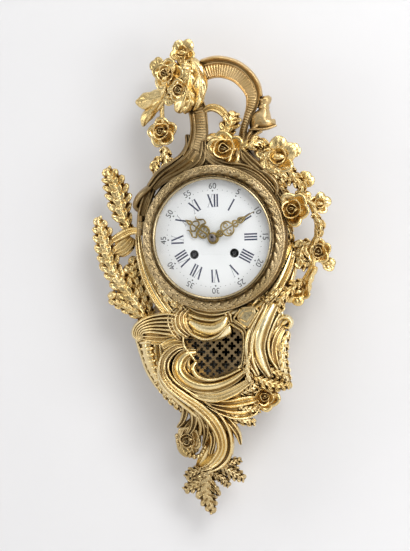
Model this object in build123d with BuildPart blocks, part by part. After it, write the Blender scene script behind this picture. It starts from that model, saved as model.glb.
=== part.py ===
from build123d import *
from math import acos, atan2, cos, degrees, hypot, radians, sin, sqrt
import os

os.makedirs("parts", exist_ok=True)

# A wall clock of the cartel kind, in gilt bronze. Millimetres. Z is up and the front faces -Y.
# The wall is the plane Y = 0 and the origin is the middle of the hanging eye.
# A "depth" is a distance from the wall, so a depth d lies at Y = -d.

# Dial and case
dial_diameter = 120.0
dial_depth = 86.0
eye_above_dial_share = 1.5
beat_turn = 2.0
case_wall = 3.0
case_back = 3.0
drum_gap = 2.0
flange_width = 12.0
flange_thickness = 3.7
dial_rise = 4.3
dial_plate_thickness = 1.5
overrun = 2.0
running = 0.05
seat = 0.1
door_gap = 0.3

# Movement
plate_thickness = 2.0
plate_spacing = 32.0
plate_margin = 11.0
front_plate_behind_dial = 16.0
arbor_radius = 0.9
fine_arbor_radius = 0.7
wheel_thickness = 1.2
winding_across = 20.5
winding_below = 15.5
anchor_above = 33.0
escape_above = 19.0
pendulum_length = 140.0
addendum_share = 0.8
dedendum_share = 1.15
tooth_shares = (0.15, 0.06)
leaf_tooth_shares = (0.13, 0.06)
rim_share = 2.6
arm_share = 1.1

# Ornament is laid out in pixels of a front view, taken from the right at eye height.
dial_diameter_px = 120.0
dial_depth_px = 86.0
dial_centre_px = (213.8, 238.3)
view_centre_px = (205.0, 275.5)
view_distance_px = 1800.0
view_turn = 14.0

dial_radius = dial_diameter / 2
dial_z = -eye_above_dial_share * dial_radius
face_scale = dial_diameter / dial_diameter_px
depth_scale = dial_depth / dial_depth_px
front_plate_depth = dial_depth - front_plate_behind_dial
back_plate_depth = front_plate_depth - plate_spacing - plate_thickness
drum_radius = dial_radius + drum_gap
flange_radius = drum_radius + flange_width
flange_front = dial_depth - dial_rise
drum_bore = drum_radius - case_wall
plate_radius = drum_bore - plate_margin


def facing(depth, x=0.0, z=0.0, turn=0.0):
    """A plane parallel to the wall that looks at the viewer."""
    x_dir = (cos(radians(turn)), 0, sin(radians(turn)))
    return Plane(origin=(x, -depth, z), x_dir=x_dir, z_dir=(0, -1, 0))


def on_dial(depth):
    return facing(depth, z=dial_z)


def in_train(depth):
    """A plane of the movement, which is turned in its case to set it in beat."""
    return facing(depth, z=dial_z, turn=beat_turn)


def train_point(u, v):
    """X and Z of a point of the movement."""
    c, s = cos(radians(beat_turn)), sin(radians(beat_turn))
    return u * c - v * s, dial_z + u * s + v * c


def turning(x=0.0, z=dial_z):
    """A plane for turned profiles: its x is the radius and its y the depth."""
    return Plane(origin=(x, 0, z), x_dir=(1, 0, 0), z_dir=(0, 0, -1))


def turning_axis(x=0.0, z=dial_z):
    return Axis((x, 0, z), (0, 1, 0))


def from_view(px, py, depth_px):
    """X, Y and Z of a point of the front view that lies at a given depth."""
    c, s = cos(radians(view_turn)), sin(radians(view_turn))
    behind = dial_depth_px - depth_px

    def across(u, back):
        near = view_distance_px + back * c
        return (u * near - view_distance_px * back * s) / (view_distance_px * c + u * s)

    dial_u = dial_centre_px[0] - view_centre_px[0]
    x = across(px - view_centre_px[0], behind)
    shrink = 1 + (behind * c - x * s) / view_distance_px
    up = (view_centre_px[1] - py) * shrink - (view_centre_px[1] - dial_centre_px[1])
    x -= across(dial_u, 0)
    return x * face_scale, -depth_px * depth_scale, dial_z + up * face_scale


# Sections of the ornament, as shares of half the width and of the whole height
rimmed_shares = [(-1, 0), (-1, 0.8), (-0.78, 1), (-0.5, 0.8), (0.5, 0.8), (0.78, 1), (1, 0.8), (1, 0)]
round_shares = [(-0.5, 0), (-1, 0.35), (-1, 0.7), (-0.5, 1), (0.5, 1), (1, 0.7), (1, 0.35), (0.5, 0)]
leaf_shares = [(-0.5, 0), (-1, 0.45), (-1, 0.65), (0, 1), (1, 0.65), (1, 0.45), (0.5, 0)]
fluted_shares = [
    (-1, 0), (-1, 0.7), (-0.7, 0.95), (-0.4, 0.75), (0, 1), (0.4, 0.75), (0.7, 0.95), (1, 0.7), (1, 0),
]


def moulding(line_px, section_shares=leaf_shares, ruled=False):
    """Loft a section along a line of (x, y, width, back depth, front depth)."""
    places = [Vector(*from_view(x, y, front)) for x, y, width, back, front in line_px]
    sections = []
    for i, (x, y, width, back, front) in enumerate(line_px):
        along = places[min(i + 1, len(places) - 1)] - places[max(i - 1, 0)]
        along = Vector(along.X, 0, along.Z).normalized()
        foot = Vector(places[i].X, -back * depth_scale, places[i].Z)
        height = (front - back) * depth_scale
        half = width * face_scale / 2
        with BuildSketch(Plane(origin=foot, x_dir=(-along.Z, 0, along.X), z_dir=along)) as section:
            Polygon(*[(a * half, b * height) for a, b in section_shares], align=None)
        sections.append(section.sketch)
    loft(sections, ruled=ruled)


def cap_arc(start, end, axis_first=True):
    """A round cap's profile from its top on the axis to its rim, or back again."""
    top, rim = (start, end) if axis_first else (end, start)
    radius, height = rim[0], top[1] - rim[1]
    ball = (radius ** 2 + height ** 2) / (2 * abs(height))
    drop = ball - sqrt(ball ** 2 - (radius / 2) ** 2)
    middle = (radius / 2, top[1] - drop * (1 if height > 0 else -1))
    ThreePointArc(start, middle, end)


def petal(radius, thickness):
    """A round petal: two equal caps back to back."""
    half = thickness / 2
    with BuildPart() as made:
        with BuildSketch(Plane.XZ):
            with BuildLine():
                cap_arc((0, half), (radius, 0))
                cap_arc((radius, 0), (0, -half), False)
                Line((0, -half), (0, half))
            make_face()
        revolve(axis=Axis.Z)
    return made.part


# Rings of petals: the count, distance out, size, tilt in degrees and rise
petal_rings_shares = {
    "rose": [(6, 0.58, 0.50, 24, 0.30), (5, 0.36, 0.40, 52, 0.52)],
    "single": [(5, 0.56, 0.44, 16, 0.22)],
    "shell": [(7, 0.62, 0.34, 20, 0.25), (5, 0.30, 0.34, 40, 0.45)],
}


petal_thickness_share = 0.5
heart_share = 0.34
heart_rise_share = 0.5

# Flowers: (x, y, depth of the back, radius)
flowers_px = {
    "crest_top": (183, 54, 52, 15), "crest_left": (168, 76, 52, 16), "drop": (164.5, 134, 46, 15),
    "centre": (230, 148, 70, 16), "centre_bud": (231, 124, 60, 10.5),
    "garland": (278, 160.5, 70, 20), "garland_bud": (304.5, 181, 66, 9),
    "garland_rose": (294, 210, 72, 15.5), "garland_side": (319, 205, 66, 10),
    "tail_rose": (319, 252, 60, 12), "tail_bud": (329.5, 262, 60, 7),
    "tail_low_rose": (298, 291.5, 60, 12.5), "tail_low_single": (278, 301, 64, 11),
    "lower_right": (265, 394, 52, 14.5), "tail_left": (189.5, 439, 44, 15),
}
# How far each flower looks to the right and upwards
flower_lean_shares = {
    "crest_top": (-0.1, 0.25), "crest_left": (-0.35, 0.1), "drop": (-0.1, 0.1),
    "centre": (0.05, 0.05), "centre_bud": (0, 0.3), "garland": (0.1, 0.1), "garland_bud": (0.2, 0),
    "garland_rose": (0, 0.05), "garland_side": (0.2, 0.1), "tail_rose": (0.2, 0), "tail_bud": (0.3, -0.1),
    "tail_low_rose": (0.1, -0.1), "tail_low_single": (0, 0.1), "lower_right": (0.2, -0.1),
    "tail_left": (-0.1, -0.2),
}


def bloom(name, kind="rose"):
    """A flower of rings of round petals about a round heart."""
    px, py, depth_px, radius_px = flowers_px[name]
    radius = radius_px * face_scale
    lean = flower_lean_shares[name]
    look = Vector(lean[0], -1, lean[1]).normalized()
    base = Plane(origin=from_view(px, py, depth_px), z_dir=look)
    with BuildPart(base) as made:
        for ring, (count, out_share, size_share, tilt, rise) in enumerate(petal_rings_shares[kind]):
            with Locations((0, 0, radius * rise)):
                with PolarLocations(radius * out_share, count, start_angle=90 + 180 * ring / count):
                    with Locations(Location((0, 0, 0), (0, -tilt, 0))):
                        add(petal(radius * size_share, radius * size_share * petal_thickness_share))
        with Locations((0, 0, radius * heart_rise_share)):
            Sphere(radius * heart_share)
        Cylinder(
            radius * heart_share, radius * heart_rise_share, align=(Align.CENTER, Align.CENTER, Align.MIN),
        )
    return made.part


def leaf_group(lines_px, section_shares=leaf_shares):
    for line_px in lines_px:
        moulding(line_px, section_shares)


def toothed(u, v, teeth, module, phase=0.0, width_shares=tooth_shares):
    """The outline of a toothed wheel, with its first tooth at the angle phase."""
    pitch = teeth * module / 2
    tip, root = pitch + addendum_share * module, pitch - dedendum_share * module
    foot, top = width_shares
    step = 360 / teeth
    corners = []
    for tooth in range(teeth):
        for radius, side in ((root, -foot), (tip, -top), (tip, top), (root, foot)):
            angle = radians(phase + (tooth + side) * step)
            corners.append((u + radius * cos(angle), v + radius * sin(angle)))
    Polygon(*corners, align=None)


# The cast case: a drum behind the dial, a shoulder over it and a hollow cartouche below, open at
# the back. Each outline gives its corners at the back and at the front.
shoulder_back_px = [(199, 146), (186, 170), (172, 200), (292, 200), (276, 170), (258, 146)]
shoulder_front_px = [(190, 150), (174, 168), (153, 198), (281, 198), (262, 168), (246, 145)]
shoulder_front_depth_px = 70.0
cartouche_back_px = [
    (170, 288), (150, 312), (137, 340), (147, 366), (170, 392), (198, 414),
    (218, 424), (238, 414), (262, 396), (282, 370), (285, 336), (280, 308), (262, 288),
]
cartouche_front_px = [
    (182, 296), (168, 316), (162, 345), (167, 366), (182, 384), (200, 393),
    (215, 396), (232, 392), (248, 384), (259, 366), (263, 345), (261, 318), (250, 296),
]
cartouche_front_depth_px = 68.0
grille_px = [
    (183, 338), (204, 337), (216, 333), (230, 325), (244, 333), (242, 366),
    (228, 373), (212, 378), (200, 377), (194, 368), (190, 356), (183, 350),
]
grille_thickness = 1.5
grille_lap = 2.0


def flat(points_px, depth_px):
    """X and Z of points of the front view that lie at a given depth."""
    return [from_view(x, y, depth_px)[::2] for x, y in points_px]


def outline(points_px, depth_px, depth=None, inset=0.0):
    """A filled outline of the front view on a plane at a given depth."""
    depth = depth_px * depth_scale if depth is None else depth
    with BuildSketch(facing(depth)) as made:
        Polygon(*flat(points_px, depth_px), align=None)
        if inset:
            offset(amount=-inset, kind=Kind.INTERSECTION)
    return made.sketch


def shell_between(back_px, front_px, front_px_depth, wall):
    """A hollow casting between two outlines, closed in front and open at the back."""
    back_px_depth = case_back / depth_scale
    front = front_px_depth * depth_scale
    outer_back = outline(back_px, back_px_depth)
    outer_front = outline(front_px, front_px_depth)
    inner_back = outline(back_px, back_px_depth, case_back - overrun, wall)
    inner_front = outline(front_px, front_px_depth, front - wall, wall)
    with BuildPart() as made:
        loft([outer_back, outer_front], ruled=True)
        loft([inner_back, inner_front], ruled=True, mode=Mode.SUBTRACT)
    return made.part


shoulder_shell = shell_between(shoulder_back_px, shoulder_front_px, shoulder_front_depth_px, case_wall)
cartouche_shell = shell_between(
    cartouche_back_px, cartouche_front_px, cartouche_front_depth_px, case_wall
)


# Front door: a chased ring on a hinge at the left, with a glass and a sight ring
bezel_inset = 1.0
bezel_reveal = 2.6
bezel_crown_shares = (0.22, 0.8)
bezel_radius = flange_radius - bezel_inset
bezel_bore = dial_radius + bezel_reveal
bezel_back = flange_front + door_gap
bezel_step = 6.5
bezel_height = 12.0
glass_seat_width = 1.8
glass_thickness = 1.8
glass_rise = 11.0
sight_height = 3.5
hinge_pin_radius = 1.0
knuckle_radius = 2.6
knuckle_length = 8.0
lug_length = 5.7
hinge_above_dial = 3.0
hinge_clear = 0.8
lug_web = 4.0
hinge_depth = bezel_back + knuckle_radius + door_gap
hinge_x = -(bezel_radius + knuckle_radius + hinge_clear)
hinge_z = dial_z + hinge_above_dial
lug_starts = (hinge_z, hinge_z + lug_length + knuckle_length + 2 * door_gap)

# Back: a ring that the movement's straps pull against, with its own small door
rear_ring_thickness = 2.0
rear_ring_depth = case_back - rear_ring_thickness
rear_bore = 46.0
rear_door_gap = 0.4
rear_door_thickness = 1.0
rear_knuckle_radius = 1.6
rear_pin_radius = 0.7
rear_knuckle_length = 6.0
rear_lug_length = 4.5
rear_hinge_out = 2.2
rear_hinge_x = rear_bore + rear_hinge_out
rear_hinge_depth = rear_knuckle_radius + rear_pin_radius / 3

# Hanging plate and screws
eye_radius = 3.5
eye_tab_radius = 7.5
hanging_bar_height = 9.0
hanging_bar_below = 9.0
hanging_screws_x = (-41.5, 36.5)
screw_radius = 1.25
screw_head_radius = 2.6
screw_head_height = 0.9
boss_radius = 3.4
boss_length = 12.0
boss_floor = 2.0
pendulum_slot_half = 16.0
pendulum_slot_depths = (18.0, 50.0)
pendulum_slot_rise = 9.0
dial_plate_gap = 0.7
strap_gap = 0.5
strap_width = 10.0
strap_thickness = 1.6
strap_foot = 8.0
strap_foot_thickness = 4.0
strap_start = 6.0
strap_screw_radius_at = drum_bore - strap_gap - strap_thickness - strap_foot / 2


def upright(x, depth, bottom, length, radius, bore=0.0, mode=Mode.ADD):
    """A round bar or a tube that stands along Z."""
    with BuildSketch(Plane(origin=(x, -depth, bottom), z_dir=(0, 0, 1))) as section:
        Circle(radius)
        if bore:
            Circle(bore, mode=Mode.SUBTRACT)
    extrude(section.sketch, amount=length, mode=mode)


def block(x_range, depth_range, z_range, mode=Mode.ADD):
    """A block between two places on each axis."""
    middle = [(a + b) / 2 for a, b in (x_range, depth_range, z_range)]
    size = [abs(b - a) for a, b in (x_range, depth_range, z_range)]
    with Locations((middle[0], -middle[1], middle[2])):
        Box(*size, mode=mode)


def round_at(plane, spots, radius, length, mode=Mode.ADD):
    """Round bars or holes at places of a plane, towards the viewer."""
    with BuildSketch(plane) as section:
        with Locations(*spots):
            Circle(radius)
    extrude(section.sketch, amount=length, mode=mode)


with BuildPart() as case_body:
    add(shoulder_shell)
    add(cartouche_shell)
    round_at(on_dial(case_back), [(0, 0)], drum_radius, flange_front - case_back)
    round_at(on_dial(flange_front - flange_thickness), [(0, 0)], flange_radius, flange_thickness)
    round_at(on_dial(case_back - overrun), [(0, 0)], drum_bore, dial_depth, Mode.SUBTRACT)
    round_at(
        on_dial(flange_front - dial_plate_thickness), [(0, 0)],
        bezel_bore - dial_plate_gap, dial_rise, Mode.SUBTRACT,
    )
    for z in lug_starts:
        upright(hinge_x, hinge_depth, z, lug_length, knuckle_radius)
        lug_left = hinge_x - knuckle_radius
        lug_height = (z, z + lug_length)
        lug_right = hinge_x + knuckle_radius / sqrt(2)
        block((lug_left, lug_right), (flange_front - overrun, hinge_depth), lug_height)
        flange_back = flange_front - flange_thickness
        block((lug_left, lug_web - flange_radius), (flange_back, flange_front), lug_height)
        upright(hinge_x, hinge_depth, z, lug_length, hinge_pin_radius + running, mode=Mode.SUBTRACT)
    block(
        (-pendulum_slot_half, pendulum_slot_half), pendulum_slot_depths,
        (dial_z - drum_radius - overrun, dial_z - drum_bore + pendulum_slot_rise), Mode.SUBTRACT,
    )
    for x in hanging_screws_x:
        round_at(facing(case_back), [(x, -hanging_bar_below)], boss_radius, boss_length)
        round_at(
            facing(case_back), [(x, -hanging_bar_below)],
            screw_radius + running, boss_length - boss_floor, Mode.SUBTRACT,
        )
    with BuildSketch(facing(cartouche_front_depth_px * depth_scale - case_wall - overrun)):
        Polygon(*flat(grille_px, cartouche_front_depth_px), align=None)
        offset(amount=-grille_lap, kind=Kind.INTERSECTION)
    extrude(amount=case_wall + 2 * overrun, mode=Mode.SUBTRACT)

with BuildPart() as hanging_plate:
    with BuildSketch(facing(0)):
        Circle(eye_tab_radius)
        Circle(eye_radius, mode=Mode.SUBTRACT)
    extrude(amount=case_back)
    with BuildSketch(facing(rear_ring_depth)):
        Circle(eye_tab_radius)
        with Locations((sum(hanging_screws_x) / 2, -hanging_bar_below)):
            SlotCenterToCenter(hanging_screws_x[1] - hanging_screws_x[0], hanging_bar_height)
        Circle(eye_radius, mode=Mode.SUBTRACT)
        with Locations(*[(x, -hanging_bar_below) for x in hanging_screws_x]):
            Circle(screw_radius + running, mode=Mode.SUBTRACT)
    extrude(amount=rear_ring_thickness)

with BuildPart() as rear_ring:
    with BuildSketch(on_dial(rear_ring_depth)):
        Circle(drum_radius)
        Circle(rear_bore, mode=Mode.SUBTRACT)
        with Locations((rear_hinge_x, 0)):
            Rectangle(
                2 * (rear_knuckle_radius + 2 * rear_door_gap),
                rear_knuckle_length + 2 * rear_lug_length + 2 * door_gap, mode=Mode.SUBTRACT,
            )
    extrude(amount=rear_ring_thickness)
    for side in (-1, 1):
        round_at(
            in_train(rear_ring_depth), [(side * strap_screw_radius_at, 0)],
            screw_radius + running, rear_ring_thickness, Mode.SUBTRACT,
        )
        lug_middle = side * (rear_knuckle_length + rear_lug_length + 2 * door_gap) / 2
        lug_bottom = dial_z + lug_middle - rear_lug_length / 2
        upright(rear_hinge_x, rear_hinge_depth, lug_bottom, rear_lug_length, rear_knuckle_radius)
        block(
            (rear_hinge_x, rear_hinge_x + 2 * rear_knuckle_radius),
            (rear_ring_depth, case_back), (lug_bottom, lug_bottom + rear_lug_length),
        )
        upright(
            rear_hinge_x, rear_hinge_depth, lug_bottom, rear_lug_length,
            rear_pin_radius + running, mode=Mode.SUBTRACT,
        )

with BuildPart() as rear_door:
    round_at(on_dial(rear_ring_depth), [(0, 0)], rear_bore - rear_door_gap, rear_door_thickness)
    knuckle_bottom = dial_z - rear_knuckle_length / 2
    upright(rear_hinge_x, rear_hinge_depth, knuckle_bottom, rear_knuckle_length, rear_knuckle_radius)
    block(
        (rear_bore - 4 * rear_knuckle_radius, rear_hinge_x),
        (rear_ring_depth, rear_ring_depth + rear_door_thickness),
        (knuckle_bottom, knuckle_bottom + rear_knuckle_length),
    )
    upright(
        rear_hinge_x, rear_hinge_depth, knuckle_bottom, rear_knuckle_length,
        rear_pin_radius + running, mode=Mode.SUBTRACT,
    )
    round_at(
        on_dial(rear_ring_depth - screw_head_height), [(5 * rear_knuckle_radius - rear_bore, 0)],
        2 * rear_knuckle_radius, screw_head_height,
    )

with BuildPart() as hinge_pins:
    upright(hinge_x, hinge_depth, hinge_z, 2 * lug_length + knuckle_length + 2 * door_gap, hinge_pin_radius)
    rear_pin_length = rear_knuckle_length + 2 * rear_lug_length + 2 * door_gap
    upright(rear_hinge_x, rear_hinge_depth, dial_z - rear_pin_length / 2, rear_pin_length, rear_pin_radius)

with BuildPart() as bezel_ring:
    knuckle_bottom = hinge_z + lug_length + door_gap
    upright(hinge_x, hinge_depth, knuckle_bottom, knuckle_length, knuckle_radius)
    block(
        (hinge_x, knuckle_radius - bezel_radius),
        (hinge_depth - knuckle_radius / 2, hinge_depth + knuckle_radius / 2),
        (knuckle_bottom, knuckle_bottom + knuckle_length),
    )
    with BuildSketch(turning()):
        with BuildLine():
            Polyline(
                (bezel_bore + glass_seat_width, bezel_back + bezel_height),
                (bezel_bore + glass_seat_width, bezel_back + bezel_step),
                (bezel_bore, bezel_back + bezel_step), (bezel_bore, bezel_back),
                (bezel_radius, bezel_back), (bezel_radius, bezel_back + bezel_height / 3),
            )
            ThreePointArc(
                (bezel_radius, bezel_back + bezel_height / 3),
                (
                    bezel_radius - bezel_crown_shares[0] * flange_width,
                    bezel_back + bezel_crown_shares[1] * bezel_height,
                ),
                (bezel_bore + glass_seat_width, bezel_back + bezel_height),
            )
        make_face()
    revolve(axis=turning_axis())
    pin_hole = hinge_pin_radius + running
    upright(hinge_x, hinge_depth, knuckle_bottom, knuckle_length, pin_hole, mode=Mode.SUBTRACT)

glass_back = bezel_back + bezel_step
glass_edge = bezel_bore + glass_seat_width - seat
with BuildPart() as bezel_glass:
    with BuildSketch(turning()):
        with BuildLine():
            cap_arc((0, glass_back + glass_rise), (glass_edge, glass_back))
            Line((glass_edge, glass_back), (glass_edge, glass_back + glass_thickness))
            glass_top = glass_back + glass_thickness + glass_rise
            cap_arc((glass_edge, glass_back + glass_thickness), (0, glass_top), False)
            Line((0, glass_top), (0, glass_back + glass_rise))
        make_face()
    revolve(axis=turning_axis())

sight_back = glass_back + glass_thickness + glass_rise * (1 - (dial_radius / glass_edge) ** 2) + door_gap
with BuildPart() as bezel_sight_ring:
    with BuildSketch(turning()):
        Polygon(
            (dial_radius, sight_back), (glass_edge, sight_back), (glass_edge, sight_back + sight_height),
            (dial_radius + glass_seat_width, sight_back + sight_height),
            (dial_radius, sight_back + sight_height / 3),
            align=None,
        )
    revolve(axis=turning_axis())

# Dial
dial_plate_inset = 0.8
enamel_inset = 0.4
dial_plate_radius = bezel_bore - dial_plate_inset
enamel_radius = dial_plate_radius - enamel_inset
enamel_edge = 1.5
centre_hole_radius = 3.4
winding_hole_radius = 4.5
winding_spots = [(side * winding_across, -winding_below) for side in (-1, 1)]
dial_foot_radius = 2.2
dial_foot_circle = plate_radius - 3 * dial_foot_radius
dial_plate_back = flange_front - dial_plate_thickness
front_plate_front = front_plate_depth + plate_thickness

with BuildPart() as dial_plate:
    with BuildSketch(in_train(dial_plate_back)):
        Circle(dial_plate_radius)
        Circle(centre_hole_radius, mode=Mode.SUBTRACT)
        with Locations(*winding_spots):
            Circle(winding_hole_radius, mode=Mode.SUBTRACT)
    extrude(amount=dial_plate_thickness)
    with BuildSketch(in_train(front_plate_front)):
        with PolarLocations(dial_foot_circle, 3, start_angle=90):
            Circle(dial_foot_radius)
    extrude(amount=dial_plate_back - front_plate_front)

with BuildPart() as dial_enamel:
    with BuildSketch(turning()):
        with BuildLine():
            Polyline(
                (0, dial_depth), (0, flange_front), (enamel_radius, flange_front),
                (enamel_radius, flange_front + enamel_edge),
            )
            cap_arc((enamel_radius, flange_front + enamel_edge), (0, dial_depth), False)
        make_face()
    revolve(axis=turning_axis())
    round_at(in_train(flange_front), [(0, 0)], centre_hole_radius, dial_rise, Mode.SUBTRACT)
    round_at(in_train(flange_front), winding_spots, winding_hole_radius, dial_rise, Mode.SUBTRACT)

with BuildPart() as movement_straps:
    for side in (-1, 1):
        outer = side * (drum_bore - strap_gap)
        inner = outer - side * strap_thickness
        with BuildSketch(in_train(strap_start)):
            with Locations(((outer + inner) / 2, 0)):
                Rectangle(strap_thickness, strap_width)
        extrude(amount=dial_plate_back - strap_start)
        with BuildSketch(in_train(strap_start)):
            with Locations((outer - side * (strap_thickness + strap_foot) / 2, 0)):
                Rectangle(strap_foot + strap_thickness, strap_width)
            with Locations((side * strap_screw_radius_at, 0)):
                Circle(screw_radius + running, mode=Mode.SUBTRACT)
        extrude(amount=strap_foot_thickness)


def screw(plane, spot, length):
    """A round headed screw whose head stands on the far side of a plane."""
    with BuildSketch(plane) as shank:
        with Locations(spot):
            Circle(screw_radius)
    extrude(shank.sketch, amount=length)
    with BuildSketch(plane) as head:
        with Locations(spot):
            Circle(screw_head_radius)
            Rectangle(2 * screw_head_radius, screw_head_radius / 4, mode=Mode.SUBTRACT)
    extrude(head.sketch, amount=-screw_head_height)
    with BuildSketch(plane) as neck:
        with Locations(spot):
            Circle(screw_head_radius)
    extrude(neck.sketch, amount=-screw_head_height / 3)


with BuildPart() as case_screws:
    for x in hanging_screws_x:
        length = rear_ring_thickness + boss_length - 2 * boss_floor
        screw(facing(rear_ring_depth), (x, -hanging_bar_below), length)
    for side in (-1, 1):
        screw(
            in_train(rear_ring_depth), (side * strap_screw_radius_at, 0),
            strap_start + strap_foot_thickness - rear_ring_depth,
        )

# Trains. Places are across and above the dial's middle; a mesh is (teeth, leaves, module).
barrel_mesh = (80, 10, 0.46)
going_second_mesh = (66, 8, 0.44)
centre_mesh = (80, 8, 0.34)
third_mesh = (84, 7, 0.30)
escape_teeth = 40
escape_radius = 10.0
escape_tooth_height = 1.8
escape_tooth_shares = [(1, 0), (0, 0.35), (0, 0.45), (1, 0.55)]
escape_arm_share = 0.7
strike_second_mesh = (72, 8, 0.36)
pin_mesh = (60, 7, 0.32)
cannon_mesh = (36, 12, 0.50)
hour_mesh = (40, 10, 0.48)
barrel_depth = 41.5
drum_of_barrel_start = 43.5
drum_of_barrel_length = 11.5
drum_of_barrel_radius = 17.0
going_second_depth = 57.0
third_depth = 60.2
centre_depth = 64.0
escape_depth = 50.0
strike_second_depth = 57.4
pin_depth = 51.0
leaf_overhang = 0.8
pivot_radius = 0.6
end_shake = 0.3
hub_radius = 2.2
winding_arbor_radius = 2.2
winding_square = 3.6
square_start = 73.6
square_end = 84.6
ratchet_mesh = (24, 0.5)


def meeting(a, reach_a, b, reach_b, side):
    """The place at two given distances from two places, on one side of the line between them."""
    gap = hypot(b[0] - a[0], b[1] - a[1])
    along = (reach_a ** 2 - reach_b ** 2 + gap ** 2) / (2 * gap)
    off = side * sqrt(reach_a ** 2 - along ** 2)
    ux, uy = (b[0] - a[0]) / gap, (b[1] - a[1]) / gap
    return a[0] + along * ux - off * uy, a[1] + along * uy + off * ux


def toward(a, distance, angle):
    return a[0] + distance * cos(radians(angle)), a[1] + distance * sin(radians(angle))


def reach(mesh):
    """The distance between the arbors of a wheel and its pinion."""
    return (mesh[0] + mesh[1]) * mesh[2] / 2


def bearing(a, b):
    return degrees(atan2(b[1] - a[1], b[0] - a[0]))


centre = (0.0, 0.0)
anchor = (0.0, anchor_above)
escape = (0.0, escape_above)
going_barrel_at = (winding_across, -winding_below)
strike_barrel_at = (-winding_across, -winding_below)
going_second = meeting(going_barrel_at, reach(barrel_mesh), centre, reach(going_second_mesh), -1)
third = meeting(centre, reach(centre_mesh), escape, reach(third_mesh), 1)
strike_train_angles = (110, 75, 100)
strike_second = toward(strike_barrel_at, reach(barrel_mesh), strike_train_angles[0])
pin_at = toward(strike_second, reach(strike_second_mesh), strike_train_angles[1])
fly_at = toward(pin_at, reach(pin_mesh), strike_train_angles[2])
hammer_at = (-13.0, 31.0)
minute_wheel_angle = 60
minute_wheel_at = toward(centre, reach(cannon_mesh), minute_wheel_angle)
train_spots = [going_second, third, escape, strike_second, pin_at, fly_at]
pillar_inset = 5.0
pillar_angles = (40, 155, -75, -105)
pillar_circle = plate_radius - pillar_inset
pillar_spots = [toward(centre, pillar_circle, angle) for angle in pillar_angles]
pillar_radius = 2.6
pillar_pivot_radius = 1.6
centre_arbor_radius = 1.2
bell_post_at = (26.0, -26.0)


def phased(driver, driven, teeth, is_wheel):
    """The angle that puts a wheel's tooth, or a pinion's gap, on the line between two arbors."""
    if is_wheel:
        return bearing(driver, driven)
    return bearing(driven, driver) + 180 / teeth


def pinion(start, length, spot, mesh, driver):
    with BuildSketch(in_train(start)) as section:
        toothed(*spot, mesh[1], mesh[2], phased(driver, spot, mesh[1], False), leaf_tooth_shares)
    extrude(section.sketch, amount=length)


def wheel(start, spot, teeth, module, phase, arms=4, thickness=wheel_thickness):
    """A toothed wheel, crossed out to a rim, arms and a hub."""
    rim = teeth * module / 2 - rim_share * module - thickness
    with BuildSketch(in_train(start)) as section:
        toothed(*spot, teeth, module, phase)
        if arms:
            with Locations(spot):
                Circle(rim, mode=Mode.SUBTRACT)
                Circle(hub_radius)
                with PolarLocations(rim / 2, arms):
                    Rectangle(rim * arm_share, thickness)
    extrude(section.sketch, amount=thickness)


def arbor(spot, radius=arbor_radius, start=None, end=None):
    """An arbor between the plates, with a pivot in each plate unless its ends are given."""
    inner_start = back_plate_depth + plate_thickness + end_shake
    inner_end = front_plate_depth - end_shake
    first = inner_start if start is None else start
    last = inner_end if end is None else end
    round_at(in_train(first), [spot], radius, last - first)
    if start is None:
        round_at(in_train(back_plate_depth + end_shake), [spot], pivot_radius, plate_thickness + overrun / 2)
    if end is None:
        round_at(in_train(inner_end - overrun / 2), [spot], pivot_radius, plate_thickness + overrun / 2)


def front_pivot(spot):
    length = overrun + plate_thickness - end_shake
    round_at(in_train(front_plate_depth - overrun), [spot], pivot_radius, length)


def bore(spot, radius, start=0.0, length=dial_depth * 2):
    round_at(in_train(start), [spot], radius, length, Mode.SUBTRACT)


def barrel(spot, mesh, driven):
    with BuildPart() as made:
        phase = phased(spot, driven, mesh[0], True)
        wheel(barrel_depth, spot, mesh[0], mesh[2], phase, 0, 2 * wheel_thickness)
        round_at(in_train(drum_of_barrel_start), [spot], drum_of_barrel_radius, drum_of_barrel_length)
        bore(spot, winding_arbor_radius + running)
    return made.part


def winding_arbor(spot):
    with BuildPart() as made:
        arbor(spot, winding_arbor_radius, back_plate_depth + end_shake, square_start)
        with BuildSketch(in_train(square_start)) as square:
            with Locations(spot):
                Rectangle(winding_square, winding_square)
        extrude(square.sketch, amount=square_end - square_start)
        with BuildSketch(in_train(front_plate_front + end_shake)) as ratchet:
            toothed(*spot, *ratchet_mesh)
        extrude(ratchet.sketch, amount=wheel_thickness)
    return made.part


with BuildPart() as going_barrel:
    add(barrel(going_barrel_at, barrel_mesh, going_second))

with BuildPart() as strike_barrel:
    add(barrel(strike_barrel_at, barrel_mesh, strike_second))

with BuildPart() as going_winding_arbor:
    add(winding_arbor(going_barrel_at))

with BuildPart() as strike_winding_arbor:
    add(winding_arbor(strike_barrel_at))

with BuildPart() as intermediate_wheel:
    arbor(going_second)
    pinion(
        barrel_depth - leaf_overhang, 4 * leaf_overhang + wheel_thickness,
        going_second, barrel_mesh, going_barrel_at,
    )
    wheel(
        going_second_depth, going_second, going_second_mesh[0], going_second_mesh[2],
        phased(going_second, centre, going_second_mesh[0], True),
    )

cannon_clear = 1.0
hour_wheel_ahead = 4.4
minute_hand_ahead = 4.2
hour_hand_ahead = 2.0
cannon_start = front_plate_front + cannon_clear
cannon_length = 3.0
cannon_pipe_radius = 1.75
hour_wheel_depth = cannon_start + hour_wheel_ahead
hour_pipe_radius = 2.7
minute_hand_depth = dial_depth + minute_hand_ahead
hour_hand_depth = dial_depth + hour_hand_ahead
hand_thickness = 1.0
hand_nut_radius = 2.6
hand_nut_length = 2.0
minute_hand_length = 50.0
minute_hub_radius = 4.2
hour_hub_radius = 5.4
hour_hand_length = 34.0
centre_arbor_end = minute_hand_depth + hand_thickness + hand_nut_length

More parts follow.
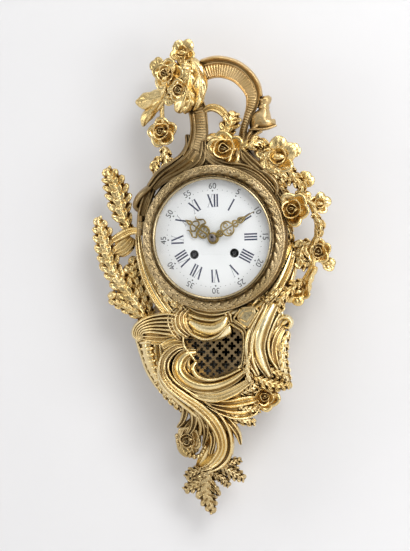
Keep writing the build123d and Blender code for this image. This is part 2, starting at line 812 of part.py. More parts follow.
with BuildPart() as centre_wheel:
    arbor(centre, centre_arbor_radius, back_plate_depth + end_shake, centre_arbor_end)
    pinion(
        going_second_depth - leaf_overhang, 2 * leaf_overhang + wheel_thickness,
        centre, going_second_mesh, going_second,
    )
    wheel(
        centre_depth, centre, centre_mesh[0], centre_mesh[2], phased(centre, third, centre_mesh[0], True),
    )

with BuildPart() as third_wheel:
    arbor(third)
    pinion(centre_depth - leaf_overhang, 2 * leaf_overhang + wheel_thickness, third, centre_mesh, centre)
    wheel(third_depth, third, third_mesh[0], third_mesh[2], phased(third, escape, third_mesh[0], True))

with BuildPart() as escape_wheel:
    arbor(escape, fine_arbor_radius)
    pinion(third_depth - leaf_overhang, 2 * leaf_overhang + wheel_thickness, escape, third_mesh, third)
    with BuildSketch(in_train(escape_depth)):
        corners = []
        for tooth in range(escape_teeth):
            for depth_share, turn_share in escape_tooth_shares:
                radius = escape_radius - depth_share * escape_tooth_height
                corners.append(toward(escape, radius, (tooth + turn_share) * 360 / escape_teeth))
        Polygon(*corners, align=None)
        with Locations(escape):
            Circle(escape_radius - 2 * escape_tooth_height, mode=Mode.SUBTRACT)
            Circle(hub_radius)
            with PolarLocations(escape_radius / 3, 4):
                Rectangle(escape_arm_share * escape_radius, wheel_thickness)
    extrude(amount=wheel_thickness)

count_wheel_radius = 13.0
count_notch_depth = 1.6
count_notch_width = 1.0
count_wheel_behind = 2.6
count_wheel_depth = back_plate_depth - count_wheel_behind
with BuildPart() as strike_second_wheel:
    arbor(strike_second, arbor_radius, count_wheel_depth, front_plate_depth - end_shake)
    front_pivot(strike_second)
    pinion(
        barrel_depth - leaf_overhang, 4 * leaf_overhang + wheel_thickness,
        strike_second, barrel_mesh, strike_barrel_at,
    )
    wheel(
        strike_second_depth, strike_second, strike_second_mesh[0], strike_second_mesh[2],
        phased(strike_second, pin_at, strike_second_mesh[0], True),
    )
    blows_in_half_a_day = 90
    with BuildSketch(in_train(count_wheel_depth)):
        with Locations(strike_second):
            Circle(count_wheel_radius)
        for hour in range(1, 13):
            blows = hour * (hour + 3) / 2
            notch = toward(strike_second, count_wheel_radius, 360 * blows / blows_in_half_a_day)
            with Locations(Location((*notch, 0), (0, 0, 360 * blows / blows_in_half_a_day))):
                Rectangle(2 * count_notch_depth, count_notch_width, mode=Mode.SUBTRACT)
    extrude(amount=wheel_thickness)

hammer_pins = 10
hammer_pin_radius = 0.5
hammer_pin_circle = 7.0
hammer_pin_length = 3.0
with BuildPart() as pin_wheel:
    arbor(pin_at)
    pinion(
        strike_second_depth - leaf_overhang, 2 * leaf_overhang + wheel_thickness,
        pin_at, strike_second_mesh, strike_second,
    )
    wheel(pin_depth, pin_at, pin_mesh[0], pin_mesh[2], phased(pin_at, fly_at, pin_mesh[0], True), 0)
    round_at(
        in_train(pin_depth + wheel_thickness),
        [toward(pin_at, hammer_pin_circle, 360 * pin / hammer_pins) for pin in range(hammer_pins)],
        hammer_pin_radius, hammer_pin_length,
    )

fly_half_width = 7.0
fly_length = 11.0
fly_clear = 1.4
fly_start = pin_depth + wheel_thickness + hammer_pin_length + fly_clear
with BuildPart() as fly:
    arbor(fly_at, fine_arbor_radius)
    pinion(pin_depth - leaf_overhang, 2 * leaf_overhang + wheel_thickness, fly_at, pin_mesh, pin_at)
    with BuildSketch(in_train(fly_start)):
        with Locations(fly_at):
            Rectangle(2 * fly_half_width, wheel_thickness / 2)
            Circle(2 * hub_radius / 3)
    extrude(amount=fly_length)

# Motion work
with BuildPart() as cannon_pinion:
    with BuildSketch(in_train(cannon_start)):
        toothed(
            *centre, cannon_mesh[1], cannon_mesh[2],
            phased(minute_wheel_at, centre, cannon_mesh[1], False), leaf_tooth_shares,
        )
    extrude(amount=cannon_length)
    pipe_length = minute_hand_depth + hand_thickness - cannon_start
    round_at(in_train(cannon_start), [centre], cannon_pipe_radius, pipe_length)
    bore(centre, centre_arbor_radius + running)

minute_stud_radius = 1.0
with BuildPart() as minute_wheel:
    phase = phased(minute_wheel_at, centre, cannon_mesh[0], True)
    minute_wheel_depth = cannon_start + (cannon_length - wheel_thickness) / 2
    wheel(minute_wheel_depth, minute_wheel_at, cannon_mesh[0], cannon_mesh[2], phase, 0)
    with BuildSketch(in_train(cannon_start + cannon_length / 2)):
        toothed(
            *minute_wheel_at, hour_mesh[1], hour_mesh[2],
            phased(centre, minute_wheel_at, hour_mesh[1], False), leaf_tooth_shares,
        )
    extrude(amount=hour_wheel_depth + wheel_thickness + leaf_overhang / 2 - cannon_start - cannon_length / 2)
    bore(minute_wheel_at, minute_stud_radius + running)

with BuildPart() as hour_wheel:
    phase = phased(centre, minute_wheel_at, hour_mesh[0], True)
    wheel(hour_wheel_depth, centre, hour_mesh[0], hour_mesh[2], phase, 0)
    pipe_length = hour_hand_depth + hand_thickness - hour_wheel_depth
    round_at(in_train(hour_wheel_depth), [centre], hour_pipe_radius, pipe_length)
    bore(centre, cannon_pipe_radius + running)


# Hands, as shares of their length: the stem, then loops as (place, half width, hole), then the point
hand_stem_shares = (0.028, 0.9)
hand_loop_shares = [(0.26, 0.07, 0.04), (0.44, 0.10, 0.065), (0.62, 0.07, 0.04)]
hand_loop_length_share = 1.3
hand_hole_shares = (0.62, 0.42)
hand_point_shares = (0.03, 0.70)


def hand(start, length, hub, hole, angle):
    """A pierced hand: a hub, a stem with three pierced loops and a point, turned to its time."""
    with BuildSketch(facing(start, z=dial_z, turn=beat_turn - angle)) as section:
        Circle(hub)
        with Locations((0, length / 2)):
            Rectangle(length * hand_stem_shares[0], length * hand_stem_shares[1])
        for place, size, hole_size in hand_loop_shares:
            with Locations((0, length * place)):
                Ellipse(length * size, length * size * hand_loop_length_share)
        for place, size, hole_size in hand_loop_shares:
            for side in (-1, 1):
                with Locations((side * length * hole_size * hand_hole_shares[0], length * place)):
                    Ellipse(length * hole_size * hand_hole_shares[1], length * hole_size, mode=Mode.SUBTRACT)
        half, foot = length * hand_point_shares[0], length * hand_point_shares[1]
        Polygon((-half, foot), (half, foot), (0, length), align=None)
        Circle(hole, mode=Mode.SUBTRACT)
    extrude(section.sketch, amount=hand_thickness)


shown_minutes = 10.0
shown_hours = 10 + shown_minutes / 60
with BuildPart() as minute_hand:
    hand(minute_hand_depth, minute_hand_length, minute_hub_radius, cannon_pipe_radius, shown_minutes * 6)

with BuildPart() as hour_hand:
    hand(hour_hand_depth, hour_hand_length, hour_hub_radius, hour_pipe_radius, shown_hours * 30)

with BuildPart() as hand_nut:
    round_at(in_train(minute_hand_depth + hand_thickness), [centre], hand_nut_radius, hand_nut_length)
    bore(centre, centre_arbor_radius + running)

# Escapement, pendulum and striking work
pallet_clear = 1.0
pallet_length = 2.4
pallet_heel_angle = 12
pallet_back_angle = 9
anchor_boss = 1.0
anchor_thickness = 2.0
anchor_depth = escape_depth + (wheel_thickness - anchor_thickness) / 2
crutch_behind = 2.6
crutch_depth = back_plate_depth - crutch_behind
crutch_thickness = 1.2
crutch_length = 30.0
crutch_width = 2.4
pendulum_behind = 5.4
pendulum_depth = back_plate_depth - pendulum_behind
rod_radius = 1.1
bob_radius = 16.0
bob_thickness = 7.0
rating_nut_radius = 2.6
rating_nut_height = 3.0
spring_thickness = 0.25
spring_width = 3.6
spring_length = 8.0
cock_width = 10.0
cock_height = 8.0
anchor_x, anchor_z = train_point(*anchor)
contact_angle = degrees(acos(escape_radius / (anchor_above - escape_above)))

with BuildPart() as anchor_and_crutch:
    arbor(anchor, arbor_radius, crutch_depth, front_plate_depth - end_shake)
    front_pivot(anchor)
    round_at(in_train(anchor_depth - anchor_boss), [anchor], hub_radius, anchor_thickness + 2 * anchor_boss)
    with BuildSketch(in_train(anchor_depth)):
        for side in (-1, 1):
            inner = escape_radius + pallet_clear
            tip = toward(escape, inner, 90 - side * contact_angle)
            back = toward(escape, inner, 90 - side * (contact_angle + pallet_back_angle))
            heel = toward(escape, inner + pallet_length, 90 - side * (contact_angle + pallet_heel_angle))
            Polygon(
                (0, anchor_above + hub_radius), (side * hub_radius, anchor_above + hub_radius),
                heel, back, tip, (0, anchor_above - hub_radius / 2), align=None,
            )
    extrude(amount=anchor_thickness)
    with BuildSketch(facing(crutch_depth, anchor_x, anchor_z)):
        Circle(hub_radius)
        with Locations((0, -crutch_length / 2)):
            Rectangle(crutch_width, crutch_length)
    extrude(amount=crutch_thickness)
    prong_gap = rod_radius + running
    block(
        (anchor_x - 2 * rod_radius - running, anchor_x + 2 * rod_radius + running),
        (pendulum_depth - rod_radius, crutch_depth + crutch_thickness),
        (anchor_z - crutch_length, anchor_z - crutch_length + crutch_width),
    )
    block(
        (anchor_x - prong_gap, anchor_x + prong_gap),
        (pendulum_depth - 2 * rod_radius, pendulum_depth + prong_gap),
        (anchor_z - crutch_length - overrun, anchor_z - crutch_length + 2 * crutch_width), Mode.SUBTRACT,
    )

with BuildPart() as pendulum:
    rod_top = anchor_z - spring_length + overrun
    bob_z = anchor_z - pendulum_length
    upright(anchor_x, pendulum_depth, bob_z, rod_top - bob_z, rod_radius)
    block(
        (anchor_x - spring_thickness / 2, anchor_x + spring_thickness / 2),
        (pendulum_depth - spring_width / 2, pendulum_depth + spring_width / 2),
        (anchor_z - spring_length, anchor_z - end_shake),
    )
    bob_back, bob_front = pendulum_depth - bob_thickness / 2, pendulum_depth + bob_thickness / 2
    rim_back, rim_front = pendulum_depth - bob_thickness / 8, pendulum_depth + bob_thickness / 8
    with BuildSketch(turning(anchor_x, bob_z)):
        with BuildLine():
            cap_arc((0, bob_back), (bob_radius, rim_back))
            Line((bob_radius, rim_back), (bob_radius, rim_front))
            cap_arc((bob_radius, rim_front), (0, bob_front), False)
            Line((0, bob_front), (0, bob_back))
        make_face()
    revolve(axis=turning_axis(anchor_x, bob_z))
    nut_z = bob_z - bob_radius - rating_nut_height
    upright(anchor_x, pendulum_depth, nut_z, bob_radius + rating_nut_height, rod_radius)
    upright(anchor_x, pendulum_depth, nut_z, rating_nut_height, rating_nut_radius)

with BuildPart() as suspension_cock:
    block(
        (anchor_x - cock_width / 2, anchor_x + cock_width / 2),
        (pendulum_depth - cock_height / 3, pendulum_depth + spring_width / 2),
        (anchor_z, anchor_z + cock_height),
    )
    block(
        (anchor_x - cock_width / 2, anchor_x + cock_width / 2),
        (pendulum_depth, back_plate_depth), (anchor_z + hub_radius + end_shake, anchor_z + cock_height),
    )

bell_radius = 30.0
bell_wall = 1.2
bell_crown = 8.0
bell_rim = 26.0
bell_stud_radius = 1.5
bell_arm_width = 6.0
bell_arm_depth = 4.6
bell_arm_thickness = 2.4
bell_post_radius = 2.0
with BuildPart() as bell:
    with BuildSketch(turning()):
        with BuildLine():
            cap_arc((0, bell_crown), (bell_radius, bell_rim))
            Line((bell_radius, bell_rim), (bell_radius - bell_wall, bell_rim))
            cap_arc((bell_radius - bell_wall, bell_rim), (0, bell_crown + bell_wall), False)
            Line((0, bell_crown + bell_wall), (0, bell_crown))
        make_face()
    revolve(axis=turning_axis())
    round_at(on_dial(0), [centre], bell_stud_radius + running, dial_depth, Mode.SUBTRACT)

with BuildPart() as bell_stand:
    post_x, post_z = train_point(*bell_post_at)
    round_at(in_train(bell_arm_depth), [bell_post_at], bell_post_radius, back_plate_depth - bell_arm_depth)
    arm_length = hypot(post_x, post_z - dial_z)
    arm_turn = degrees(atan2(post_z - dial_z, post_x))
    with BuildSketch(facing(bell_arm_depth, z=dial_z, turn=arm_turn)):
        with Locations((arm_length / 2, 0)):
            SlotCenterToCenter(arm_length, bell_arm_width)
    extrude(amount=bell_arm_thickness)
    bell_inside = bell_crown + bell_wall
    round_at(on_dial(bell_arm_depth), [centre], bell_stud_radius, bell_inside - bell_arm_depth + overrun)
    round_at(on_dial(bell_inside + end_shake), [centre], 2 * bell_stud_radius, overrun)

hammer_head_radius = 2.2
hammer_gap = 0.4
hammer_angle = 153
hammer_arm_ahead = 4.5
hammer_tail_lap = 1.2
hammer_head_at = toward(centre, bell_radius + hammer_head_radius + hammer_gap, hammer_angle)
hammer_arm_depth = bell_rim + hammer_arm_ahead
hammer_arm_thickness = 1.5
hammer_head_length = 9.5
hammer_tail_depth = pin_depth + wheel_thickness + hammer_pin_length / 2
tail_end = toward(pin_at, hammer_pin_circle + hammer_tail_lap, bearing(pin_at, hammer_at))


def bar_between(plane, a, b, width, length):
    """A flat bar with round ends from one place to another."""
    with BuildSketch(plane) as section:
        middle = ((a[0] + b[0]) / 2, (a[1] + b[1]) / 2, 0)
        with Locations(Location(middle, (0, 0, bearing(a, b)))):
            SlotCenterToCenter(hypot(b[0] - a[0], b[1] - a[1]), width)
    extrude(section.sketch, amount=length)


with BuildPart() as hammer:
    arbor(hammer_at, arbor_radius, hammer_arm_depth, front_plate_depth - end_shake)
    front_pivot(hammer_at)
    bar_between(in_train(hammer_arm_depth), hammer_at, hammer_head_at, 2 * arbor_radius, hammer_arm_thickness)
    round_at(
        in_train(hammer_arm_depth + hammer_arm_thickness - hammer_head_length), [hammer_head_at],
        hammer_head_radius, hammer_head_length,
    )
    bar_between(in_train(hammer_tail_depth), hammer_at, tail_end, arbor_radius, wheel_thickness)
    round_at(in_train(hammer_tail_depth), [hammer_at], hub_radius, wheel_thickness)

with BuildPart() as back_plate:
    with BuildSketch(in_train(back_plate_depth)):
        Circle(plate_radius)
        with Locations(*[going_second, third, escape, pin_at, fly_at]):
            Circle(pivot_radius + running, mode=Mode.SUBTRACT)
        with Locations(strike_second, anchor, hammer_at):
            Circle(arbor_radius + running, mode=Mode.SUBTRACT)
        with Locations(*pillar_spots):
            Circle(pillar_pivot_radius + running, mode=Mode.SUBTRACT)
        with Locations(going_barrel_at, strike_barrel_at):
            Circle(winding_arbor_radius + running, mode=Mode.SUBTRACT)
        with Locations(centre):
            Circle(centre_arbor_radius + running, mode=Mode.SUBTRACT)
    extrude(amount=plate_thickness)

with BuildPart() as front_plate:
    with BuildSketch(in_train(front_plate_depth)):
        Circle(plate_radius)
        with Locations(*train_spots, anchor, hammer_at):
            Circle(pivot_radius + running, mode=Mode.SUBTRACT)
        with Locations(*pillar_spots):
            Circle(pillar_pivot_radius + running, mode=Mode.SUBTRACT)
        with Locations(going_barrel_at, strike_barrel_at):
            Circle(winding_arbor_radius + running, mode=Mode.SUBTRACT)
        with Locations(centre):
            Circle(centre_arbor_radius + running, mode=Mode.SUBTRACT)
    extrude(amount=plate_thickness)
    round_at(
        in_train(front_plate_front), [minute_wheel_at], minute_stud_radius,
        hour_wheel_depth + wheel_thickness + leaf_overhang - front_plate_front,
    )

pillar_nut_radius = 3.0
pillar_nut_length = 1.8
with BuildPart() as plate_pillars:
    round_at(in_train(back_plate_depth + plate_thickness), pillar_spots, pillar_radius, plate_spacing)
    round_at(
        in_train(back_plate_depth - pillar_nut_length), pillar_spots, pillar_pivot_radius,
        plate_spacing + 2 * plate_thickness + 2 * pillar_nut_length,
    )

with BuildPart() as pillar_nuts:
    for start in (back_plate_depth - pillar_nut_length, front_plate_front):
        with BuildSketch(in_train(start)):
            with Locations(*pillar_spots):
                RegularPolygon(pillar_nut_radius, 6)
                Circle(pillar_pivot_radius, mode=Mode.SUBTRACT)
        extrude(amount=pillar_nut_length)

# Sound grille: a plate pierced with crosses of four round lobes, in staggered rows
lobe_radius = 1.65
lobe_reach = 2.55
cross_heart_radius = 1.85
cross_across = 12.6
cross_rise = 6.3
grille_middle_px = (214, 352)
grille_rows = 9
grille_rim_width = 1.2
grille_columns = 7
with BuildSketch(Plane.XY) as grille_rim:
    Polygon(*flat(grille_px, cartouche_front_depth_px), align=None)
    offset(amount=-grille_rim_width, kind=Kind.INTERSECTION, mode=Mode.SUBTRACT)

with BuildPart() as sound_grille:
    with BuildSketch(facing(cartouche_front_depth_px * depth_scale)):
        Polygon(*flat(grille_px, cartouche_front_depth_px), align=None)
        grille_middle = from_view(*grille_middle_px, cartouche_front_depth_px)
        for row in range(grille_rows):
            for column in range(grille_columns - row % 2):
                x = grille_middle[0] + (column - (grille_columns - 1 - row % 2) / 2) * cross_across
                z = grille_middle[2] + (row - (grille_rows - 1) / 2) * cross_rise
                with Locations((x, z)):
                    Circle(cross_heart_radius, mode=Mode.SUBTRACT)
                    with PolarLocations(lobe_reach, 4):
                        Circle(lobe_radius, mode=Mode.SUBTRACT)
        add(grille_rim.sketch)
    extrude(amount=grille_thickness)

# Ornament. Each line runs through (x, y, width, back depth, front depth).
crest_foot_px = [
    (160, 182, 12, 70, 78), (171, 172, 18, 70, 80), (182, 161, 21, 70, 80), (191, 149, 20, 68, 76),
]
crest_scroll_px = [
    (193, 147, 20, 50, 74), (197, 136, 19, 46, 70), (198, 122, 19, 42, 65),
    (194, 108, 19, 38, 62), (190, 95, 19, 36, 60), (193, 82, 20, 35, 59),
    (203, 72, 21, 35, 59), (218, 68, 21, 35, 59), (232, 72, 18, 35, 58), (243, 84, 13, 36, 58),
    (249, 99, 9, 37, 57), (248, 114, 8, 38, 57), (244, 128, 8, 42, 60), (242, 142, 10, 46, 66),
]
crest_trumpet_px = [
    (265, 97, 10, 42, 54), (264, 101, 13, 40, 56), (263, 108, 13, 40, 56), (262, 112, 16, 38, 58),
    (263, 119, 23, 37, 60), (261, 126, 22, 38, 61), (254, 133, 12, 42, 60), (248, 141, 8, 48, 62),
]
crest_leaves_px = [
    [
        (183, 81, 11, 52, 64), (174, 86, 12, 48, 60), (164, 94, 15, 46, 60), (152, 102, 16, 44, 58),
        (143, 104, 11, 44, 54), (136, 103, 4, 46, 50),
    ],
    [(168, 90, 8, 46, 58), (159, 103, 12, 45, 58), (150, 113, 12, 44, 56), (143, 122, 7, 44, 52)],
    [(190, 74, 12, 50, 66), (187, 88, 20, 52, 70), (182, 100, 22, 54, 70), (178, 110, 12, 54, 66)],
    [(184, 62, 10, 50, 64), (194, 76, 14, 54, 70), (197, 92, 13, 56, 70), (193, 107, 7, 56, 66)],
]
blossom_drop_px = [
    [(160, 93, 5, 47, 54), (161, 106, 4, 46, 52), (162, 124, 5, 46, 52)],
    [(162, 145, 6, 45, 54), (163, 155, 12, 44, 56), (165, 166, 9, 46, 56), (167, 172, 5, 50, 58)],
    [(160, 158, 5, 46, 54), (158, 167, 9, 46, 56), (162, 175, 6, 52, 60)],
]
centre_stem_px = [
    (206, 110, 6, 50, 58), (213, 108, 7, 50, 58), (221, 112, 8, 54, 64),
    (227, 121, 8, 60, 70), (229, 131, 8, 66, 74), (230, 140, 8, 70, 78),
]
centre_ribbon_px = [
    (240, 149, 9, 70, 78), (251, 146, 12, 68, 78), (261, 143, 11, 64, 74), (265, 149, 6, 64, 74),
]
garland_leaves_px = [
    [(262, 152, 9, 70, 78), (270, 166, 12, 70, 78), (282, 172, 10, 68, 78)],
    [(284, 166, 10, 66, 76), (292, 174, 10, 64, 76), (300, 185, 11, 64, 76), (298, 197, 9, 66, 78)],
    [(276, 176, 12, 70, 78), (283, 188, 12, 60, 72), (287, 201, 9, 56, 72)],
]
garland_stems_px = [
    [(301, 198, 6, 64, 76), (309, 202, 6, 66, 76), (316, 206, 5, 66, 76)],
    [(309, 203, 6, 64, 76), (314, 222, 5, 62, 72), (317, 238, 6, 62, 72)],
    [(288, 206, 10, 62, 78), (287, 222, 9, 58, 72), (290, 238, 7, 54, 68)],
]
garland_tail_px = [
    [(317, 236, 6, 60, 70), (313, 248, 9, 58, 70), (311, 266, 6, 58, 68), (304, 281, 7, 58, 68)],
    [(312, 242, 7, 58, 68), (303, 250, 16, 56, 68), (302, 262, 14, 56, 66), (308, 268, 6, 56, 66)],
    [(303, 280, 8, 58, 70), (290, 291, 9, 58, 72), (279, 300, 14, 60, 76), (274, 311, 9, 62, 76)],
]
left_leaves_px = [
    [
        (128, 229, 8, 44, 56), (121, 214, 22, 40, 54), (117, 198, 24, 38, 52),
        (113, 182, 18, 38, 50), (109, 169, 6, 40, 46),
    ],
    [
        (122, 292, 8, 44, 56), (113, 270, 18, 42, 54), (107, 252, 20, 40, 52),
        (103, 234, 18, 38, 50), (99, 217, 5, 40, 46),
    ],
    [
        (146, 320, 10, 50, 62), (133, 300, 18, 46, 60), (122, 282, 20, 44, 58),
        (110, 268, 13, 42, 52), (101, 262, 4, 42, 48),
    ],
    [(153, 316, 8, 46, 58), (140, 295, 18, 42, 52), (131, 274, 17, 40, 50), (133, 258, 7, 40, 48)],
    [(148, 321, 9, 52, 64), (134, 311, 13, 50, 62), (121, 303, 12, 46, 58), (110, 297, 6, 44, 52)],
    [(112, 240, 8, 42, 52), (122, 236, 10, 46, 56), (131, 230, 7, 50, 60), (141, 230, 5, 58, 66)],
    [(116, 250, 9, 42, 52), (124, 246, 14, 42, 54), (130, 240, 8, 44, 54)],
]
left_rim_px = [
    (139, 236, 5, 58, 76), (140, 252, 7, 60, 79), (145, 272, 9, 62, 80), (153, 291, 11, 62, 80),
    (163, 306, 12, 62, 80), (174, 319, 9, 64, 80), (181, 328, 5, 66, 78),
]
right_palm_px = [
    (292, 240, 5, 40, 58), (288, 256, 12, 42, 66), (280, 274, 17, 46, 74), (270, 291, 17, 52, 78),
    (260, 303, 13, 58, 80), (252, 311, 8, 64, 80),
]
right_edge_px = [(295, 256, 4, 34, 50), (293, 272, 6, 36, 54), (288, 288, 6, 42, 60), (282, 300, 6, 50, 66)]
apron_px = [
    (208, 314, 40, 68, 76), (207, 320, 38, 68, 84), (206, 326, 33, 68, 81),
    (205, 332, 32, 68, 85), (204, 337, 24, 68, 79),
]
apron_scroll_px = [
    (187, 314, 5, 68, 78), (184, 323, 7, 68, 82), (187, 332, 8, 68, 84),
    (196, 338, 7, 68, 82), (207, 339, 5, 68, 79),
]
apron_panel_px = [(223, 306), (224, 319), (246, 325), (254, 317), (260, 302), (246, 298)]
apron_panel_depth_px = 80.0
grille_scroll_px = [
    [
        (193, 356, 8, 68, 78), (183, 359, 9, 68, 80), (180, 369, 9, 68, 82), (186, 379, 10, 68, 84),
        (199, 385, 11, 68, 84), (215, 386, 10, 68, 84), (231, 381, 9, 68, 82), (245, 373, 7, 68, 80),
    ],
    [
        (187, 387, 5, 68, 80), (199, 393, 7, 68, 82), (216, 396, 8, 68, 82),
        (233, 393, 8, 68, 80), (248, 386, 7, 66, 78),
    ],
]
left_shell_px = [
    [(176, 336, 12, 68, 78), (160, 330, 22, 68, 82), (146, 330, 26, 61, 77), (134, 332, 14, 48, 66)],
    [(170, 322, 10, 68, 78), (156, 320, 12, 68, 80), (143, 322, 12, 58, 72)],
    [
        (147, 338, 12, 50, 66), (148, 354, 12, 48, 64), (151, 368, 12, 46, 62), (158, 382, 11, 46, 60),
        (169, 394, 9, 46, 60), (180, 403, 6, 48, 58),
    ],
    [(178, 341, 10, 68, 76), (168, 341, 10, 68, 77), (160, 343, 8, 68, 76)],
]
right_scroll_px = [
    [
        (262, 312, 10, 68, 80), (254, 324, 13, 68, 84), (249, 340, 12, 68, 84),
        (249, 356, 9, 68, 80), (254, 371, 6, 68, 76),
    ],
    [
        (272, 312, 11, 68, 80), (265, 325, 13, 68, 82), (260, 342, 12, 68, 82),
        (263, 360, 9, 66, 78), (270, 374, 6, 60, 72),
    ],
    [
        (286, 321, 9, 48, 64), (277, 329, 11, 52, 70), (273, 346, 13, 54, 71),
        (277, 364, 12, 50, 70), (284, 384, 8, 46, 62),
    ],
]
tail_scroll_px = [
    (178, 350, 6, 68, 78), (168, 354, 8, 68, 82), (164, 364, 9, 68, 84),
    (168, 378, 10, 68, 84), (180, 390, 11, 66, 82),
    (195, 401, 13, 60, 80), (210, 412, 15, 46, 76), (220, 427, 18, 40, 70), (222, 444, 19, 36, 62),
    (216, 459, 17, 34, 54), (205, 467, 9, 32, 48),
]
tail_spoon_px = [(213, 434, 5, 42, 58), (211, 448, 11, 38, 54), (203, 461, 10, 34, 48), (196, 468, 5, 34, 44)]
lower_foliage_px = [
    [(214, 403, 7, 60, 78), (229, 405, 9, 58, 76), (243, 401, 9, 58, 74), (252, 395, 6, 58, 72)],
    [(219, 409, 8, 54, 74), (232, 413, 10, 52, 70), (244, 417, 9, 50, 66), (252, 423, 5, 50, 62)],
    [(226, 418, 8, 48, 68), (233, 428, 8, 46, 64), (238, 439, 5, 44, 58)],
]
lower_rose_leaf_px = [
    (252, 376, 8, 58, 72), (262, 380, 14, 56, 70), (274, 383, 14, 52, 66), (284, 384, 8, 50, 62),
]
tail_blossom_px = [
    [(182, 400, 7, 50, 64), (183, 411, 8, 46, 60), (180, 424, 5, 44, 54)],
    [(192, 408, 8, 52, 68), (195, 420, 9, 46, 62), (193, 432, 6, 42, 56)],
    [(202, 415, 6, 50, 68), (205, 426, 7, 44, 62), (203, 438, 5, 40, 54)],
    [(184, 404, 5, 54, 64), (195, 411, 5, 52, 64), (205, 419, 5, 48, 62)],
    [(193, 420, 8, 42, 56), (188, 434, 12, 40, 52), (186, 446, 8, 38, 50)],
]
tail_leaves_px = [
    [
        (211, 469, 16, 33, 48), (208, 479, 18, 32, 48), (206, 490, 17, 30, 46),
        (209, 502, 12, 30, 42), (214, 513, 4, 32, 38),
    ],
    [(204, 478, 9, 32, 46), (195, 483, 12, 32, 44), (184, 489, 6, 32, 40)],
    [(203, 471, 8, 32, 46), (194, 472, 12, 32, 44), (186, 477, 6, 32, 40)],
    [(217, 468, 9, 34, 48), (230, 472, 13, 34, 47), (243, 478, 6, 34, 42)],
    [(224, 468, 7, 36, 48), (231, 463, 8, 36, 47), (241, 461, 4, 36, 42)],
    [(212, 474, 8, 32, 46), (222, 478, 9, 32, 46), (227, 485, 5, 32, 40)],
    [(210, 483, 8, 32, 46), (218, 491, 6, 32, 42)],
]

with BuildPart() as crest_scroll:
    moulding(crest_scroll_px, fluted_shares)
    moulding(crest_foot_px, fluted_shares)

with BuildPart() as crest_trumpet:
    moulding(crest_trumpet_px, round_shares)

with BuildPart() as crest_bouquet:
    leaf_group(crest_leaves_px)
    add(bloom("crest_top"))
    add(bloom("crest_left"))

with BuildPart() as blossom_drop:
    leaf_group(blossom_drop_px, round_shares)
    add(bloom("drop"))

with BuildPart() as centre_rose:
    moulding(centre_stem_px, round_shares)
    moulding(centre_ribbon_px)
    add(bloom("centre"))
    add(bloom("centre_bud", "shell"))

with BuildPart() as garland_flower:
    leaf_group(garland_leaves_px)
    add(bloom("garland", "single"))
    add(bloom("garland_bud", "single"))

with BuildPart() as garland_roses:
    leaf_group(garland_stems_px, round_shares)
    add(bloom("garland_rose"))
    add(bloom("garland_side", "single"))

with BuildPart() as garland_tail:
    leaf_group(garland_tail_px)
    add(bloom("tail_rose", "shell"))
    add(bloom("tail_bud", "shell"))
    add(bloom("tail_low_rose"))
    add(bloom("tail_low_single", "single"))

with BuildPart() as left_leaf_branch:
    leaf_group(left_leaves_px)

with BuildPart() as left_rim_scroll:
    moulding(left_rim_px, rimmed_shares)

with BuildPart() as right_palm_leaf:
    moulding(right_palm_px)
    moulding(right_edge_px, round_shares)

with BuildPart() as apron_moulding:
    moulding(apron_px, round_shares, ruled=True)
    moulding(apron_scroll_px, round_shares, ruled=True)
    panel_foot = cartouche_front_depth_px * depth_scale
    panel = outline(apron_panel_px, apron_panel_depth_px, panel_foot)
    extrude(panel, amount=apron_panel_depth_px * depth_scale - panel_foot)

with BuildPart() as grille_scroll:
    for line_px in grille_scroll_px:
        moulding(line_px, rimmed_shares)

with BuildPart() as left_shell:
    leaf_group(left_shell_px)

with BuildPart() as right_twin_scroll:
    for line_px in right_scroll_px:
        moulding(line_px, rimmed_shares)

with BuildPart() as tail_scroll:
    moulding(tail_scroll_px, fluted_shares)
    moulding(tail_spoon_px)

with BuildPart() as lower_foliage:
    leaf_group(lower_foliage_px)

with BuildPart() as lower_rose_right:
    moulding(lower_rose_leaf_px)
    add(bloom("lower_right", "shell"))

with BuildPart() as tail_blossom_left:
    leaf_group(tail_blossom_px)
    add(bloom("tail_left", "shell"))

with BuildPart() as tail_leaves:
    leaf_group(tail_leaves_px)

